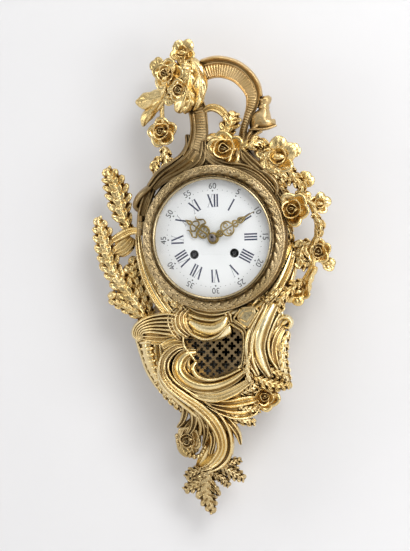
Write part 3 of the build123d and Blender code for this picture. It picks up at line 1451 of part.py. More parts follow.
pieces = {
    "case_body": case_body, "hanging_plate": hanging_plate, "rear_ring": rear_ring, "rear_door": rear_door,
    "hinge_pins": hinge_pins, "case_screws": case_screws, "movement_straps": movement_straps,
    "bezel_ring": bezel_ring, "bezel_glass": bezel_glass, "bezel_sight_ring": bezel_sight_ring,
    "dial_plate": dial_plate, "dial_enamel": dial_enamel,
    "front_plate": front_plate, "back_plate": back_plate,
    "plate_pillars": plate_pillars, "pillar_nuts": pillar_nuts, "suspension_cock": suspension_cock,
    "bell": bell, "bell_stand": bell_stand, "hammer": hammer, "going_barrel": going_barrel,
    "strike_barrel": strike_barrel, "going_winding_arbor": going_winding_arbor,
    "strike_winding_arbor": strike_winding_arbor, "intermediate_wheel": intermediate_wheel,
    "centre_wheel": centre_wheel, "third_wheel": third_wheel, "escape_wheel": escape_wheel,
    "anchor_and_crutch": anchor_and_crutch, "pendulum": pendulum, "strike_second_wheel": strike_second_wheel,
    "pin_wheel": pin_wheel, "fly": fly, "cannon_pinion": cannon_pinion, "minute_wheel": minute_wheel,
    "hour_wheel": hour_wheel, "minute_hand": minute_hand, "hour_hand": hour_hand, "hand_nut": hand_nut,
    "crest_scroll": crest_scroll, "crest_trumpet": crest_trumpet, "crest_bouquet": crest_bouquet,
    "blossom_drop": blossom_drop, "centre_rose": centre_rose, "garland_flower": garland_flower,
    "garland_roses": garland_roses, "garland_tail": garland_tail, "left_leaf_branch": left_leaf_branch,
    "left_rim_scroll": left_rim_scroll, "right_palm_leaf": right_palm_leaf, "apron_moulding": apron_moulding,
    "sound_grille": sound_grille, "grille_scroll": grille_scroll, "left_shell": left_shell,
    "right_twin_scroll": right_twin_scroll, "tail_scroll": tail_scroll, "lower_foliage": lower_foliage,
    "lower_rose_right": lower_rose_right, "tail_blossom_left": tail_blossom_left, "tail_leaves": tail_leaves,
}
for node, piece in pieces.items():
    piece.part.label = node
    export_step(piece.part, f"parts/{node}.step")
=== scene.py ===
import math
import random

import bpy
import numpy as np
from mathutils import Matrix, Vector


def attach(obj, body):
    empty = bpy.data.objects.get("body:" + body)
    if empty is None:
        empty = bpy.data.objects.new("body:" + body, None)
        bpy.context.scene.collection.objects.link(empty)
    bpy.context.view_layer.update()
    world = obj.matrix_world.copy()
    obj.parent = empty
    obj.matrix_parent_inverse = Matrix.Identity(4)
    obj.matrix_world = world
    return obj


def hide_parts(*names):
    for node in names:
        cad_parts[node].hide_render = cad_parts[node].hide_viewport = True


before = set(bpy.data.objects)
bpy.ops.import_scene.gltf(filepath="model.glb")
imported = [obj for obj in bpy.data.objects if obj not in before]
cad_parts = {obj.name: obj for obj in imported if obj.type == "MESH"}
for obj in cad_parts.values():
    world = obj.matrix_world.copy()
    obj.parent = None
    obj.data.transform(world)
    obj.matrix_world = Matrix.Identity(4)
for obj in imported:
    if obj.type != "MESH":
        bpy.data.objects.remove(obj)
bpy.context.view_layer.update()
random.seed(7)

# Millimetres are turned to metres once, by MM. A depth is a distance from the wall, so it lies at -Y.
MM = 0.001
DIAL_Z = -90.0
DIAL_DEPTH = 86.0
# The dial hangs turned to the left by this many degrees.
BEAT = 2.0

# Ornament is laid out in pixels of a front view, as in the part's own drawing. The view stands
# VIEW_DISTANCE millimetres away and looks at the dial from VIEW_TURN to the right.
VIEW_CENTRE = (205.0, 275.5)
DIAL_CENTRE = (213.8, 238.3)
VIEW_DISTANCE = 1800.0
VIEW_TURN = math.radians(14.0)


def from_view(px, py, depth):
    """The place, in metres, of a point of the front view that lies at a given depth."""
    c, s = math.cos(VIEW_TURN), math.sin(VIEW_TURN)
    behind = DIAL_DEPTH - depth

    def across(u, back):
        near = VIEW_DISTANCE + back * c
        return (u * near - VIEW_DISTANCE * back * s) / (VIEW_DISTANCE * c + u * s)

    x = across(px - VIEW_CENTRE[0], behind)
    shrink = 1 + (behind * c - x * s) / VIEW_DISTANCE
    up = (VIEW_CENTRE[1] - py) * shrink - (VIEW_CENTRE[1] - DIAL_CENTRE[1])
    x -= across(DIAL_CENTRE[0] - VIEW_CENTRE[0], 0)
    return Vector((x * MM, -depth * MM, (DIAL_Z + up) * MM))


# ---- Materials


def plug(tree, node, links):
    """Give a node's inputs their constants and links."""
    for socket, source in links:
        if isinstance(source, (int, float, tuple)):
            node.inputs[socket].default_value = source
        else:
            tree.links.new(source, node.inputs[socket])


def wired(tree, kind, links=(), **settings):
    node = tree.nodes.new(kind)
    for key, value in settings.items():
        setattr(node, key, value)
    plug(tree, node, links)
    return node


def own_place(tree):
    """Places on the object itself, so that a pattern stays with it as it moves."""
    return wired(tree, "ShaderNodeTexCoord").outputs["Object"]


def noise(tree, place, scale, detail):
    return wired(tree, "ShaderNodeTexNoise", [("Vector", place), ("Scale", scale), ("Detail", detail)]).outputs["Fac"]


def mapped(tree, value, from_min=0.0, from_max=1.0, to_min=0.0, to_max=1.0):
    """A value taken from one range to another."""
    return wired(tree, "ShaderNodeMapRange", [
        ("Value", value), ("From Min", from_min), ("From Max", from_max), ("To Min", to_min), ("To Max", to_max),
    ]).outputs[0]


def reckoned(tree, operation, *values):
    return wired(tree, "ShaderNodeMath", list(enumerate(values)), operation=operation).outputs[0]


def mixed_colour(tree, share, first, second, blend="MIX"):
    return wired(tree, "ShaderNodeMix", [(0, share), (6, first), (7, second)],
                 data_type="RGBA", blend_type=blend).outputs[2]


def bumped(tree, height, strength, distance):
    return wired(tree, "ShaderNodeBump", [
        ("Height", height), ("Strength", strength), ("Distance", distance)]).outputs[0]


def ramp(tree, factor, stops):
    node = wired(tree, "ShaderNodeValToRGB", [("Fac", factor)])
    while len(node.color_ramp.elements) < len(stops):
        node.color_ramp.elements.new(0.5)
    for element, (place, colour) in zip(node.color_ramp.elements, stops):
        element.position = place
        element.color = (*colour, 1)
    return node.outputs[0]


def make_gilding_group():
    """Colour and surface of fire-gilt bronze: bright on the rises, brown in the hollows, where the brown is painted
    shade from ambient occlusion with some dark patina in the finest recesses.
    """
    tree = bpy.data.node_groups.new("gilding", "ShaderNodeTree")
    for label, kind, value in (
        ("Bright", "NodeSocketColor", (0.9, 0.7, 0.35, 1)), ("Worn", "NodeSocketColor", (0.6, 0.4, 0.15, 1)),
        ("Hollow Shade", "NodeSocketColor", (0.1, 0.05, 0.01, 1)), ("Reach", "NodeSocketFloat", 0.006),
        ("Roughness", "NodeSocketFloat", 0.25), ("Chasing", "NodeSocketFloat", 0.3),
        ("Foot Shade", "NodeSocketFloat", 1.0),
    ):
        tree.interface.new_socket(label, in_out="INPUT", socket_type=kind).default_value = value
    for label, kind in (
        ("Colour", "NodeSocketColor"), ("Roughness", "NodeSocketFloat"), ("Normal", "NodeSocketVector"),
    ):
        tree.interface.new_socket(label, in_out="OUTPUT", socket_type=kind)
    given = tree.nodes.new("NodeGroupInput").outputs
    out = tree.nodes.new("NodeGroupOutput")
    place = own_place(tree)
    # Painted shade: ambient occlusion darkens the hollows towards the darkest colour, with some dark patina in the
    # finest of them.
    shade = wired(tree, "ShaderNodeAmbientOcclusion", [("Distance", given["Reach"])], samples=6)
    shade_mask = reckoned(tree, "SUBTRACT", 1.0, mapped(tree, shade.outputs["AO"], 0.18, 0.78))
    patches = mapped(tree, noise(tree, place, 38.0, 3.0), 0.38, 0.68)
    skin = mixed_colour(tree, patches, given["Bright"], given["Worn"])
    colour = mixed_colour(tree, shade_mask, skin, given["Hollow Shade"])
    # Painted shade: between these two heights, in metres, the colour comes up from its share at the crest's foot, so
    # the lower part, where less light falls, is darker.
    height = wired(tree, "ShaderNodeSeparateXYZ", [(0, place)])
    foot_shading = mapped(tree, height.outputs["Z"], 0.026, 0.056, given["Foot Shade"])
    colour = mixed_colour(tree, 1.0, colour, foot_shading, "MULTIPLY")
    fine = noise(tree, place, 420.0, 4.0)
    grain = noise(tree, place, 1500.0, 2.0)
    bump = bumped(tree, reckoned(tree, "ADD", fine, grain), given["Chasing"], 0.0006)
    rough = reckoned(tree, "ADD", mapped(tree, fine, 0.3, 0.7, 0.0, 0.16), given["Roughness"])
    dull = reckoned(tree, "MULTIPLY_ADD", shade_mask, 0.35, rough)
    plug(tree, out, [("Colour", colour), ("Roughness", dull), ("Normal", bump)])
    return tree


gilding_group = make_gilding_group()


def new_material(name):
    material = bpy.data.materials.new(name)
    material.use_nodes = True
    tree = material.node_tree
    return material, tree, tree.nodes["Principled BSDF"]


# Painted shade: the last argument is the share of the colour left at the crest's foot, darker because less light
# falls there.
def gilding(name, bright, worn, hollow_shade, reach=0.006, roughness=0.24, chasing=0.3, foot_shade=1.0):
    """One finish of the gilding. Its darkest colour is painted shade that ambient occlusion lays in the hollows, with
    some dark patina in the finest of them; the reach is how wide a recess may be and still go dark, in metres.
    """
    material, tree, shader = new_material(name)
    effect = tree.nodes.new("ShaderNodeGroup")
    effect.node_tree = gilding_group
    plug(tree, effect, [
        ("Bright", (*bright, 1)), ("Worn", (*worn, 1)), ("Hollow Shade", (*hollow_shade, 1)), ("Reach", reach),
        ("Roughness", roughness), ("Chasing", chasing), ("Foot Shade", foot_shade)])
    plug(tree, shader, [
        ("Metallic", 1.0), ("Base Color", effect.outputs["Colour"]), ("Roughness", effect.outputs["Roughness"]),
        ("Normal", effect.outputs["Normal"])])
    return material


bright_gilt = gilding("bright_gilt", (0.94, 0.77, 0.43), (0.80, 0.61, 0.28), (0.22, 0.11, 0.02), 0.0032, 0.15, 0.16)
leaf_gilt = gilding("leaf_gilt", (0.87, 0.68, 0.34), (0.69, 0.50, 0.20), (0.22, 0.10, 0.012), 0.0035, 0.17, 0.26)
# Painted shade: the crest's foot keeps only 0.44 of this colour.
antique_gilt = gilding("antique_gilt", (0.80, 0.58, 0.29), (0.60, 0.40, 0.16), (0.08, 0.04, 0.008), foot_shade=0.44)
trumpet_gilt = gilding("trumpet_gilt", (0.78, 0.58, 0.30), (0.58, 0.41, 0.18), (0.08, 0.04, 0.008))
# Painted light: a paler, brighter copy of the gilt for the apron and the right twin scroll, standing in for the
# softbox reflected in them.
lit_gilt = gilding("lit_gilt", (1.0, 0.87, 0.54), (0.92, 0.75, 0.41), (0.34, 0.19, 0.05), 0.0028, 0.22, 0.16)
grille_gilt = gilding("grille_gilt", (0.33, 0.24, 0.13), (0.22, 0.15, 0.07), (0.03, 0.015, 0.005), 0.004, 0.34)
low_gilt = gilding("low_gilt", (0.66, 0.51, 0.27), (0.48, 0.35, 0.15), (0.16, 0.08, 0.015), 0.0035, 0.2, 0.28)
# Painted shade: a dark copy of the gilt for the case body, which lies in shade behind the ornament, near black in its
# hollows by ambient occlusion as far as 5 cm.
shaded_gilt = gilding("shaded_gilt", (0.42, 0.29, 0.14), (0.28, 0.18, 0.07), (0.003, 0.002, 0.001), 0.05, 0.38)
# Painted shade: a dark copy of the brass for the pendulum inside the case, near black in its hollows by ambient
# occlusion as far as 9 cm.
pendulum_brass_in_shade = gilding("pendulum_brass_in_shade", (0.50, 0.38, 0.19), (0.40, 0.29, 0.14), (0.006, 0.004, 0.002), 0.09, 0.4)
bezel_gilt = gilding("bezel_gilt", (0.56, 0.43, 0.24), (0.36, 0.26, 0.12), (0.04, 0.022, 0.008), 0.003, 0.2, 0.5)
sight_gilt = gilding("sight_gilt", (0.50, 0.41, 0.25), (0.40, 0.31, 0.17), (0.2, 0.13, 0.05), 0.006, 0.22, 0.1)
hand_gilt = gilding("hand_gilt", (0.34, 0.25, 0.09), (0.20, 0.14, 0.045), (0.05, 0.03, 0.01), 0.001, 0.34)
# Painted shade: the movement's brass inside the case, dark in its hollows by ambient occlusion as far as 3 cm, so
# that what shows through the holes looks dark.
shaded_inner_brass = gilding("shaded_inner_brass", (0.62, 0.48, 0.25), (0.50, 0.37, 0.18), (0.012, 0.008, 0.004), 0.03, 0.3)


def plain_metal(name, colour, rough, brushed=0.0):
    material, tree, shader = new_material(name)
    grain = noise(tree, own_place(tree), 260.0, 4.0)
    plug(tree, shader, [
        ("Metallic", 1.0),
        ("Base Color", ramp(tree, grain, [(0.3, tuple(0.8 * c for c in colour)), (0.7, colour)])),
        ("Roughness", mapped(tree, grain, to_min=rough, to_max=rough + 0.18)),
        ("Normal", bumped(tree, grain, 0.08 + brushed, 0.0003))])
    return material


case_steel = plain_metal("case_steel", (0.42, 0.42, 0.44), 0.25)
collet_steel = plain_metal("collet_steel", (0.22, 0.19, 0.18), 0.26)
square_steel = plain_metal("square_steel", (0.08, 0.08, 0.085), 0.4)
bell_bronze = plain_metal("bell_bronze", (0.62, 0.45, 0.25), 0.25, 0.1)


def make_enamel():
    material, tree, shader = new_material("white_enamel")
    cloud = noise(tree, own_place(tree), 45.0, 3.0)
    plug(tree, shader, [
        ("Base Color", ramp(tree, cloud, [(0.3, (0.86, 0.87, 0.875)), (0.7, (0.90, 0.905, 0.91))])),
        ("Roughness", 0.12), ("Normal", bumped(tree, cloud, 0.03, 0.001))])
    return material


def make_ink(name, colour):
    material, tree, shader = new_material(name)
    fired = noise(tree, own_place(tree), 700.0, 3.0)
    thin = tuple(min(1, 2.2 * c + 0.01) for c in colour)
    plug(tree, shader, [("Base Color", ramp(tree, fired, [(0.35, colour), (0.75, thin)])), ("Roughness", 0.3)])
    return material


def let_through(tree, shader, share, colour):
    """Make a surface clear, by the given share, instead of what its shader says."""
    clear = wired(tree, "ShaderNodeBsdfTransparent", [("Color", colour)])
    mixed = wired(tree, "ShaderNodeMixShader", [(0, share), (1, shader.outputs[0]), (2, clear.outputs[0])])
    tree.links.new(mixed.outputs[0], tree.nodes["Material Output"].inputs["Surface"])


def make_glass():
    """Clear glass that lets the light through to the dial."""
    material, tree, shader = new_material("door_glass")
    smear = noise(tree, own_place(tree), 30.0, 2.0)
    plug(tree, shader, [
        ("Base Color", (1, 1, 1, 1)), ("Roughness", mapped(tree, smear, to_max=0.03)),
        ("Transmission Weight", 1.0), ("IOR", 1.45)])
    rays = wired(tree, "ShaderNodeLightPath").outputs
    passing = reckoned(tree, "MAXIMUM", rays["Is Shadow Ray"], rays["Is Diffuse Ray"])
    let_through(tree, shader, passing, (0.97, 0.98, 0.98, 1))
    return material


white_enamel = make_enamel()
numeral_ink = make_ink("numeral_ink", (0.012, 0.014, 0.045))
minute_ink = make_ink("minute_ink", (0.02, 0.02, 0.025))
# Painted shade: near-black paint for the winding holes' collets and the discs at their floor.
hole_shade_black = make_ink("hole_shade_black", (0.004, 0.004, 0.004))
door_glass = make_glass()


def dress(obj, material):
    """Give an object one material, in place of what its slots hold."""
    if not obj.data.materials:
        obj.data.materials.append(material)
    for slot in obj.material_slots:
        slot.material = material


# ---- Making pieces


def clear_selection():
    if bpy.context.object and bpy.context.object.mode != "OBJECT":
        bpy.ops.object.mode_set(mode="OBJECT")
    bpy.ops.object.select_all(action="DESELECT")


def pick(obj):
    clear_selection()
    obj.select_set(True)
    bpy.context.view_layer.objects.active = obj


def apply_modifier(obj, name, kind, **settings):
    pick(obj)
    modifier = obj.modifiers.new(name, kind)
    for key, value in settings.items():
        setattr(modifier, key, value)
    bpy.ops.object.modifier_apply(modifier=name)


def settle(obj):
    """Put an object's place into its mesh, so that the object itself sits at the origin."""
    obj.data.transform(obj.matrix_basis)
    obj.matrix_basis = Matrix.Identity(4)


def close_up(obj, gap=1e-6, fill=False):
    """Weld a mesh's seams, fill its open ends if asked, and turn its faces outwards."""
    pick(obj)
    bpy.ops.object.mode_set(mode="EDIT")
    bpy.ops.mesh.select_all(action="SELECT")
    bpy.ops.mesh.remove_doubles(threshold=gap)
    if fill:
        bpy.ops.mesh.fill_holes(sides=0)
        bpy.ops.mesh.select_all(action="SELECT")
    bpy.ops.mesh.normals_make_consistent(inside=False)
    bpy.ops.object.mode_set(mode="OBJECT")


def tidy(obj, levels=1):
    """Close seams and ends, and round the form."""
    close_up(obj, fill=True)
    if levels:
        apply_modifier(obj, "rounding", "SUBSURF", levels=levels, render_levels=levels)
    pick(obj)
    bpy.ops.object.shade_smooth()
    return obj


def merge(objects):
    clear_selection()
    for obj in objects:
        obj.select_set(True)
    bpy.context.view_layer.objects.active = objects[0]
    if len(objects) > 1:
        bpy.ops.object.join()
    return bpy.context.view_layer.objects.active


def flat_list(parts):
    for part in parts:
        if isinstance(part, list):
            yield from flat_list(part)
        else:
            yield part


def cast(*parts):
    """Join raw strips, close them and round them, all at once."""
    return tidy(merge(list(flat_list(parts))))


def join(name, objects, material, body="case", replaces=()):
    """Make one finished piece of its parts."""
    piece = merge(list(flat_list(objects)))
    piece.name = name
    piece.data.name = name
    dress(piece, material)
    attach(piece, body)
    if replaces:
        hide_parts(*replaces)
    return piece


def casting(node, material, strips, blooms=()):
    """One casting of the ornament: its strips as one body, and the flowers that stand on it."""
    join(f"{node}_cast", [cast(strips), *blooms], material, replaces=(node,))


def woven(name, columns, rows):
    """A sheet of faces, with the index of each point's column and row."""
    clear_selection()
    bpy.ops.mesh.primitive_grid_add(x_subdivisions=columns, y_subdivisions=rows, size=2)
    obj = bpy.context.object
    obj.name = name
    flat = np.empty(3 * len(obj.data.vertices))
    obj.data.vertices.foreach_get("co", flat)
    flat = flat.reshape(-1, 3)
    across = np.rint((flat[:, 0] + 1) / 2 * columns).astype(int)
    along = np.rint((flat[:, 1] + 1) / 2 * rows).astype(int)
    return obj, across, along


def shape_to(obj, places):
    obj.data.vertices.foreach_set("co", np.asarray(places, dtype=float).ravel())
    obj.data.update()


def even_steps(line, count):
    """Points along a smooth curve through the rows of a table."""
    rows = np.array(line, dtype=float)
    if len(rows) == 2:
        rows = np.array([rows[0], (rows[0] + rows[1]) / 2, rows[1]])
    reach = np.r_[0, np.cumsum(np.hypot(*np.diff(rows[:, :2], axis=0).T))]
    padded = np.vstack([2 * rows[0] - rows[1], rows, 2 * rows[-1] - rows[-2]])
    steps = []
    for t in np.linspace(0, reach[-1], count):
        k = min(np.searchsorted(reach, t, side="right") - 1, len(rows) - 2)
        f = (t - reach[k]) / (reach[k + 1] - reach[k])
        a, b, c, d = padded[k:k + 4]
        bend = (2 * a - 5 * b + 4 * c - d) * f ** 2
        steps.append(0.5 * (2 * b + (c - a) * f + bend + (3 * b - a - 3 * c + d) * f ** 3))
    return np.array(steps), reach[-1]


def strip(name, line, top, steps=26, ribs=9, edge=None, sweep=0.0, place=from_view):
    """A cast band along a line of (x, y, width, back depth, front depth).

    top(u, s) is the height of its face, from 0 to 1, across u (-1 to 1) at the share s of its length,
    and edge(s, side) scales its half width there. Its sides can sweep forward, towards its tip."""
    stations, _ = even_steps(line, steps)
    direction = np.gradient(stations[:, :2], axis=0)
    direction /= np.linalg.norm(direction, axis=1)[:, None]
    normal = np.stack([-direction[:, 1], direction[:, 0]], axis=1)
    # The face has a point for each rib, and the narrower back has three.
    across_band = [*np.linspace(-1, 1, ribs), 0.55, 0.0, -0.55]
    ring = len(across_band)
    obj, across, along = woven(name, ring, steps - 1)
    places = np.empty((len(across), 3))
    for k, (i, j) in enumerate(zip(across, along)):
        i %= ring
        x, y, width, back, front = stations[j]
        s = j / (steps - 1)
        u = across_band[i]
        h = top(u, s) if i < ribs else 0.0
        half = max(width, 0.3) / 2 * (edge(s, 1 if u > 0 else -1) if edge else 1)
        ahead = sweep * abs(u) * half
        places[k] = place(x + u * half * normal[j, 0] + ahead * direction[j, 0],
                          y + u * half * normal[j, 1] + ahead * direction[j, 1], back + h * (front - back))
    shape_to(obj, places)
    return obj


def fluted(count):
    def top(u, s):
        if abs(u) > 0.97:
            return 0.55
        crown = 1 - 0.22 * u * u
        return crown * (0.86 + 0.14 * math.cos(2 * math.pi * count * (u + 1) / 2))
    return top


def rounded(u, s):
    return 0.35 + 0.65 * math.sqrt(max(0.0, 1 - u * u))


def leafy(lobes, vein):
    """The face of a leaf: a raised midrib and veins that run out to the lobes."""
    def top(u, s):
        a = abs(u)
        rib = 0.16 * math.exp(-(a / 0.14) ** 2)
        veins = vein * math.cos(2 * math.pi * (lobes * s - 0.9 * a)) * min(1, 2.2 * a)
        return 0.78 - 0.34 * a ** 2 + rib + veins - (0.1 if a > 0.97 else 0)
    return top


def lobed(lobes, cut):
    def edge(s, side):
        return 1 - cut + cut * 1.25 * math.sin(math.pi * (lobes * s % 1)) ** 0.7
    return edge


def reeded(*reeds):
    """Rounded reeds side by side: each is (middle, half width, height) across the band."""
    def top(u, s):
        crown = 1 - 0.15 * u * u
        rise = max(h * math.sqrt(max(0.0, 1 - ((u - c) / w) ** 2)) for c, w, h in reeds)
        return crown * (0.62 + 0.38 * rise)
    return top


def woven_band(length):
    """A bead, two fine lines and a field crossed by small ribs, between raised rims."""
    def top(u, s):
        if abs(u) > 0.97:
            return 0.6
        rims = 0.26 * math.exp(-((u + 0.85) / 0.11) ** 2) + 0.16 * math.exp(-((u - 0.88) / 0.09) ** 2)
        lines = 0.06 * math.cos(2 * math.pi * (u + 0.52) / 0.16) if -0.68 < u < -0.36 else 0
        rungs = 0.03 * math.cos(2 * math.pi * length / 2.9 * s) if -0.36 < u < 0.74 else 0
        return 0.74 - 0.10 * u * u + rims + lines + rungs
    return top


def leaf(name, line, lobes, cut=0.34, vein=0.10):
    """A small leaf cast in one with its lobes."""
    return strip(name, line, leafy(lobes, vein), 6 * lobes + 2, 11, lobed(lobes, cut))


def lobe_share(lobes, s, side):
    """How far along its own lobe a place on the leaf's side lies; the two sides take turns."""
    return (lobes * s + (0.5 if side > 0 else 0.0)) % 1


def toothed(lobes, cut=0.42):
    """The edge of an acanthus leaf: rounded lobes, each with three small teeth."""
    def edge(s, side):
        f = lobe_share(lobes, s, side)
        lobe = math.sin(math.pi * f) ** 0.55
        return 1 - cut + cut * lobe + 0.07 * abs(math.sin(3 * math.pi * f))
    return edge


def ribbed_lobes(lobes):
    """Its face: a midrib, a crown on each lobe, a deep cut between lobes and a rim that turns up."""
    def top(u, s):
        a = abs(u)
        f = lobe_share(lobes, s, u)
        away = min(1.0, 2.4 * a)
        valley = math.exp(-(min(f, 1 - f) / 0.09) ** 2)
        vein = math.exp(-((f - 0.5) / 0.10) ** 2)
        body = 0.76 + 0.10 * math.sin(math.pi * f) * away - 0.40 * valley * away - 0.07 * vein * away
        rim = 0.16 * math.exp(-((a - 0.84) / 0.14) ** 2) - (0.30 if a > 0.97 else 0)
        return body + rim + 0.22 * math.exp(-(a / 0.12) ** 2) - 0.16 * a * a
    return top


def acanthus(name, line, pairs, seed):
    """A long leaf in one body with toothed lobes that sweep forward, and a smaller leaf lying on it."""
    chance = random.Random(seed)
    rows = np.array(even_steps(line, max(6, 2 * len(line)))[0])
    rows[:, 3] += np.array([chance.uniform(-0.4, 0.4) for _ in rows])
    inner = rows[:-1].copy()
    inner[:, 2] *= 0.50
    inner[:, 3] = rows[:-1, 4] - 4.5
    inner[:, 4] += 1.2
    outer = rows.copy()
    outer[:, 2] *= 1.04
    return [strip(f"{name}_body", outer, ribbed_lobes(pairs), 10 * pairs, 17, toothed(pairs), 0.62),
            strip(f"{name}_heart", inner, ribbed_lobes(pairs), 8 * pairs, 11, toothed(pairs, 0.36), 0.8)]


def vein_lobe(u, s):
    """A lobe's face: a sharp little rib in the middle and a thin lifted edge."""
    a = abs(u)
    rib, rim = 0.22 * math.exp(-(a / 0.2) ** 2), 0.16 * math.exp(-((a - 0.8) / 0.2) ** 2)
    return 0.70 + rib + rim - (0.22 if a > 0.97 else 0)


def look_frame(px, py, depth, lean):
    """A frame at a point of the view whose Z looks out of the wall, leaning right and up."""
    z = Vector((lean[0], -1, lean[1])).normalized()
    x = (Vector((1, 0, 0)) - z * z.x).normalized()
    turn = Matrix((x, z.cross(x), z)).transposed().to_4x4()
    return Matrix.Translation(from_view(px, py, depth)) @ turn


# A petal's bowl, the roll of its rim, its wave and the crease along its middle.
petal_forms = {
    "bowl": (0.36, 0.16, 0.05, 0.03), "pillow": (-0.34, 0.02, 0.04, 0.10), "curled": (0.30, 0.30, 0.07, 0.05),
}
PETAL_RINGS, PETAL_SPOKES = 7, 18
masters = {}


def petal_master(shape):
    """A petal about its own middle, one across: bowl, pillow or curled, with a rolled and waved rim."""
    if shape in masters:
        return masters[shape]
    cup, roll, wave, crease = petal_forms[shape]
    obj, across, along = woven(f"petal_{shape}", PETAL_SPOKES, PETAL_RINGS)
    places = np.empty((len(across), 3))
    for k, (i, j) in enumerate(zip(across, along)):
        a = 2 * math.pi * (i % PETAL_SPOKES) / PETAL_SPOKES
        r = j / PETAL_RINGS
        reach = r * (1 + wave * math.sin(3 * a + 1) * r)
        height = cup * r ** 2 - roll * max(0, (r - 0.7) / 0.3) ** 2 + 0.4 * wave * math.sin(5 * a + 2) * r ** 2
        height -= crease * math.exp(-(math.sin(a) * r / 0.12) ** 2)
        places[k] = (reach * math.cos(a), reach * math.sin(a), height)
    shape_to(obj, places)
    close_up(obj, 1e-4)
    apply_modifier(obj, "wall", "SOLIDIFY", thickness=0.12, offset=0.0)
    apply_modifier(obj, "rounding", "SUBSURF", levels=1, render_levels=1)
    bpy.ops.object.shade_smooth()
    masters[shape] = obj
    return obj


def copy_of(master, matrix):
    obj = bpy.data.objects.new(master.name, master.data.copy())
    bpy.context.scene.collection.objects.link(obj)
    obj.data.transform(matrix)
    return obj


def nugget(radius, place, squash, knobs):
    """A small rounded bead, flattened and pinched into knobs as a seed head is."""
    key = f"nugget_{squash}_{knobs}"
    if key not in masters:
        clear_selection()
        bpy.ops.mesh.primitive_ico_sphere_add(subdivisions=2, radius=1)
        obj = bpy.context.object
        obj.name = key
        for vertex in obj.data.vertices:
            a = math.atan2(vertex.co.y, vertex.co.x)
            vertex.co *= 1 + 0.12 * math.sin(knobs * a)
            vertex.co.z *= squash
        bpy.ops.object.shade_smooth()
        masters[key] = obj
    return copy_of(masters[key], Matrix.Translation(place) @ Matrix.Scale(radius, 4))


# Each ring of a flower: how many petals, their shape, distance out, size, tilt and height.
flower_rings = {
    "rose": [(5, "curled", 0.50, 0.55, 16, 0.24), (4, "bowl", 0.30, 0.42, 38, 0.44),
             (3, "bowl", 0.15, 0.30, 58, 0.60), (2, "bowl", 0.05, 0.18, 72, 0.72)],
    "mouth": [(2, "pillow", 0.52, 0.52, 14, 0.46), (5, "curled", 0.50, 0.48, 16, 0.24),
              (3, "bowl", 0.26, 0.36, 46, 0.42)],
    "puff": [(2, "pillow", 0.36, 0.62, 16, 0.42), (3, "curled", 0.42, 0.56, 22, 0.22)],
}
PILLOW_SPREAD = 62


def bloom(px, py, depth, radius_px, kind, lean, seed, turn=90):
    """A flower: rings of cupped petals about a heart."""
    radius = radius_px * MM
    chance = random.Random(seed)
    base = look_frame(px, py, depth, lean)
    parts = []
    for ring, (count, shape, out, size, tilt, rise) in enumerate(flower_rings[kind]):
        for k in range(count):
            angle = math.radians(turn + 360 * k / count + 180 * ring / count + chance.uniform(-9, 9))
            if shape == "pillow":
                angle = math.radians(turn + (k - 0.5) * PILLOW_SPREAD)
            place = (
                Matrix.Rotation(angle, 4, "Z")
                @ Matrix.Translation((radius * out, 0, radius * (rise + chance.uniform(-0.03, 0.05))))
                @ Matrix.Rotation(-math.radians(tilt + chance.uniform(-6, 8)), 4, "Y")
                @ Matrix.Rotation(chance.uniform(-0.4, 0.4), 4, "Z")
                @ Matrix.Scale(radius * size * chance.uniform(0.94, 1.06), 4)
            )
            parts.append(copy_of(petal_master(shape), base @ place))
    parts.append(nugget(radius * 0.13, base @ Vector((0, 0, radius * 0.62)), 0.8, 6))
    parts.append(nugget(radius * 0.5, base @ Vector((0, 0, radius * 0.20)), 0.5, 5))
    return parts


# Faces that several bands share.
low_reeds = reeded((-0.5, 0.5, 1.0), (0.5, 0.5, 0.8))
two_reeds = reeded((-0.5, 0.5, 1.0), (0.5, 0.5, 0.85))
high_reeds = reeded((-0.5, 0.5, 1.0), (0.5, 0.5, 0.9))
three_reeds = reeded((-0.6, 0.38, 1.0), (0.05, 0.3, 0.6), (0.65, 0.35, 0.9))


# ---- Crest

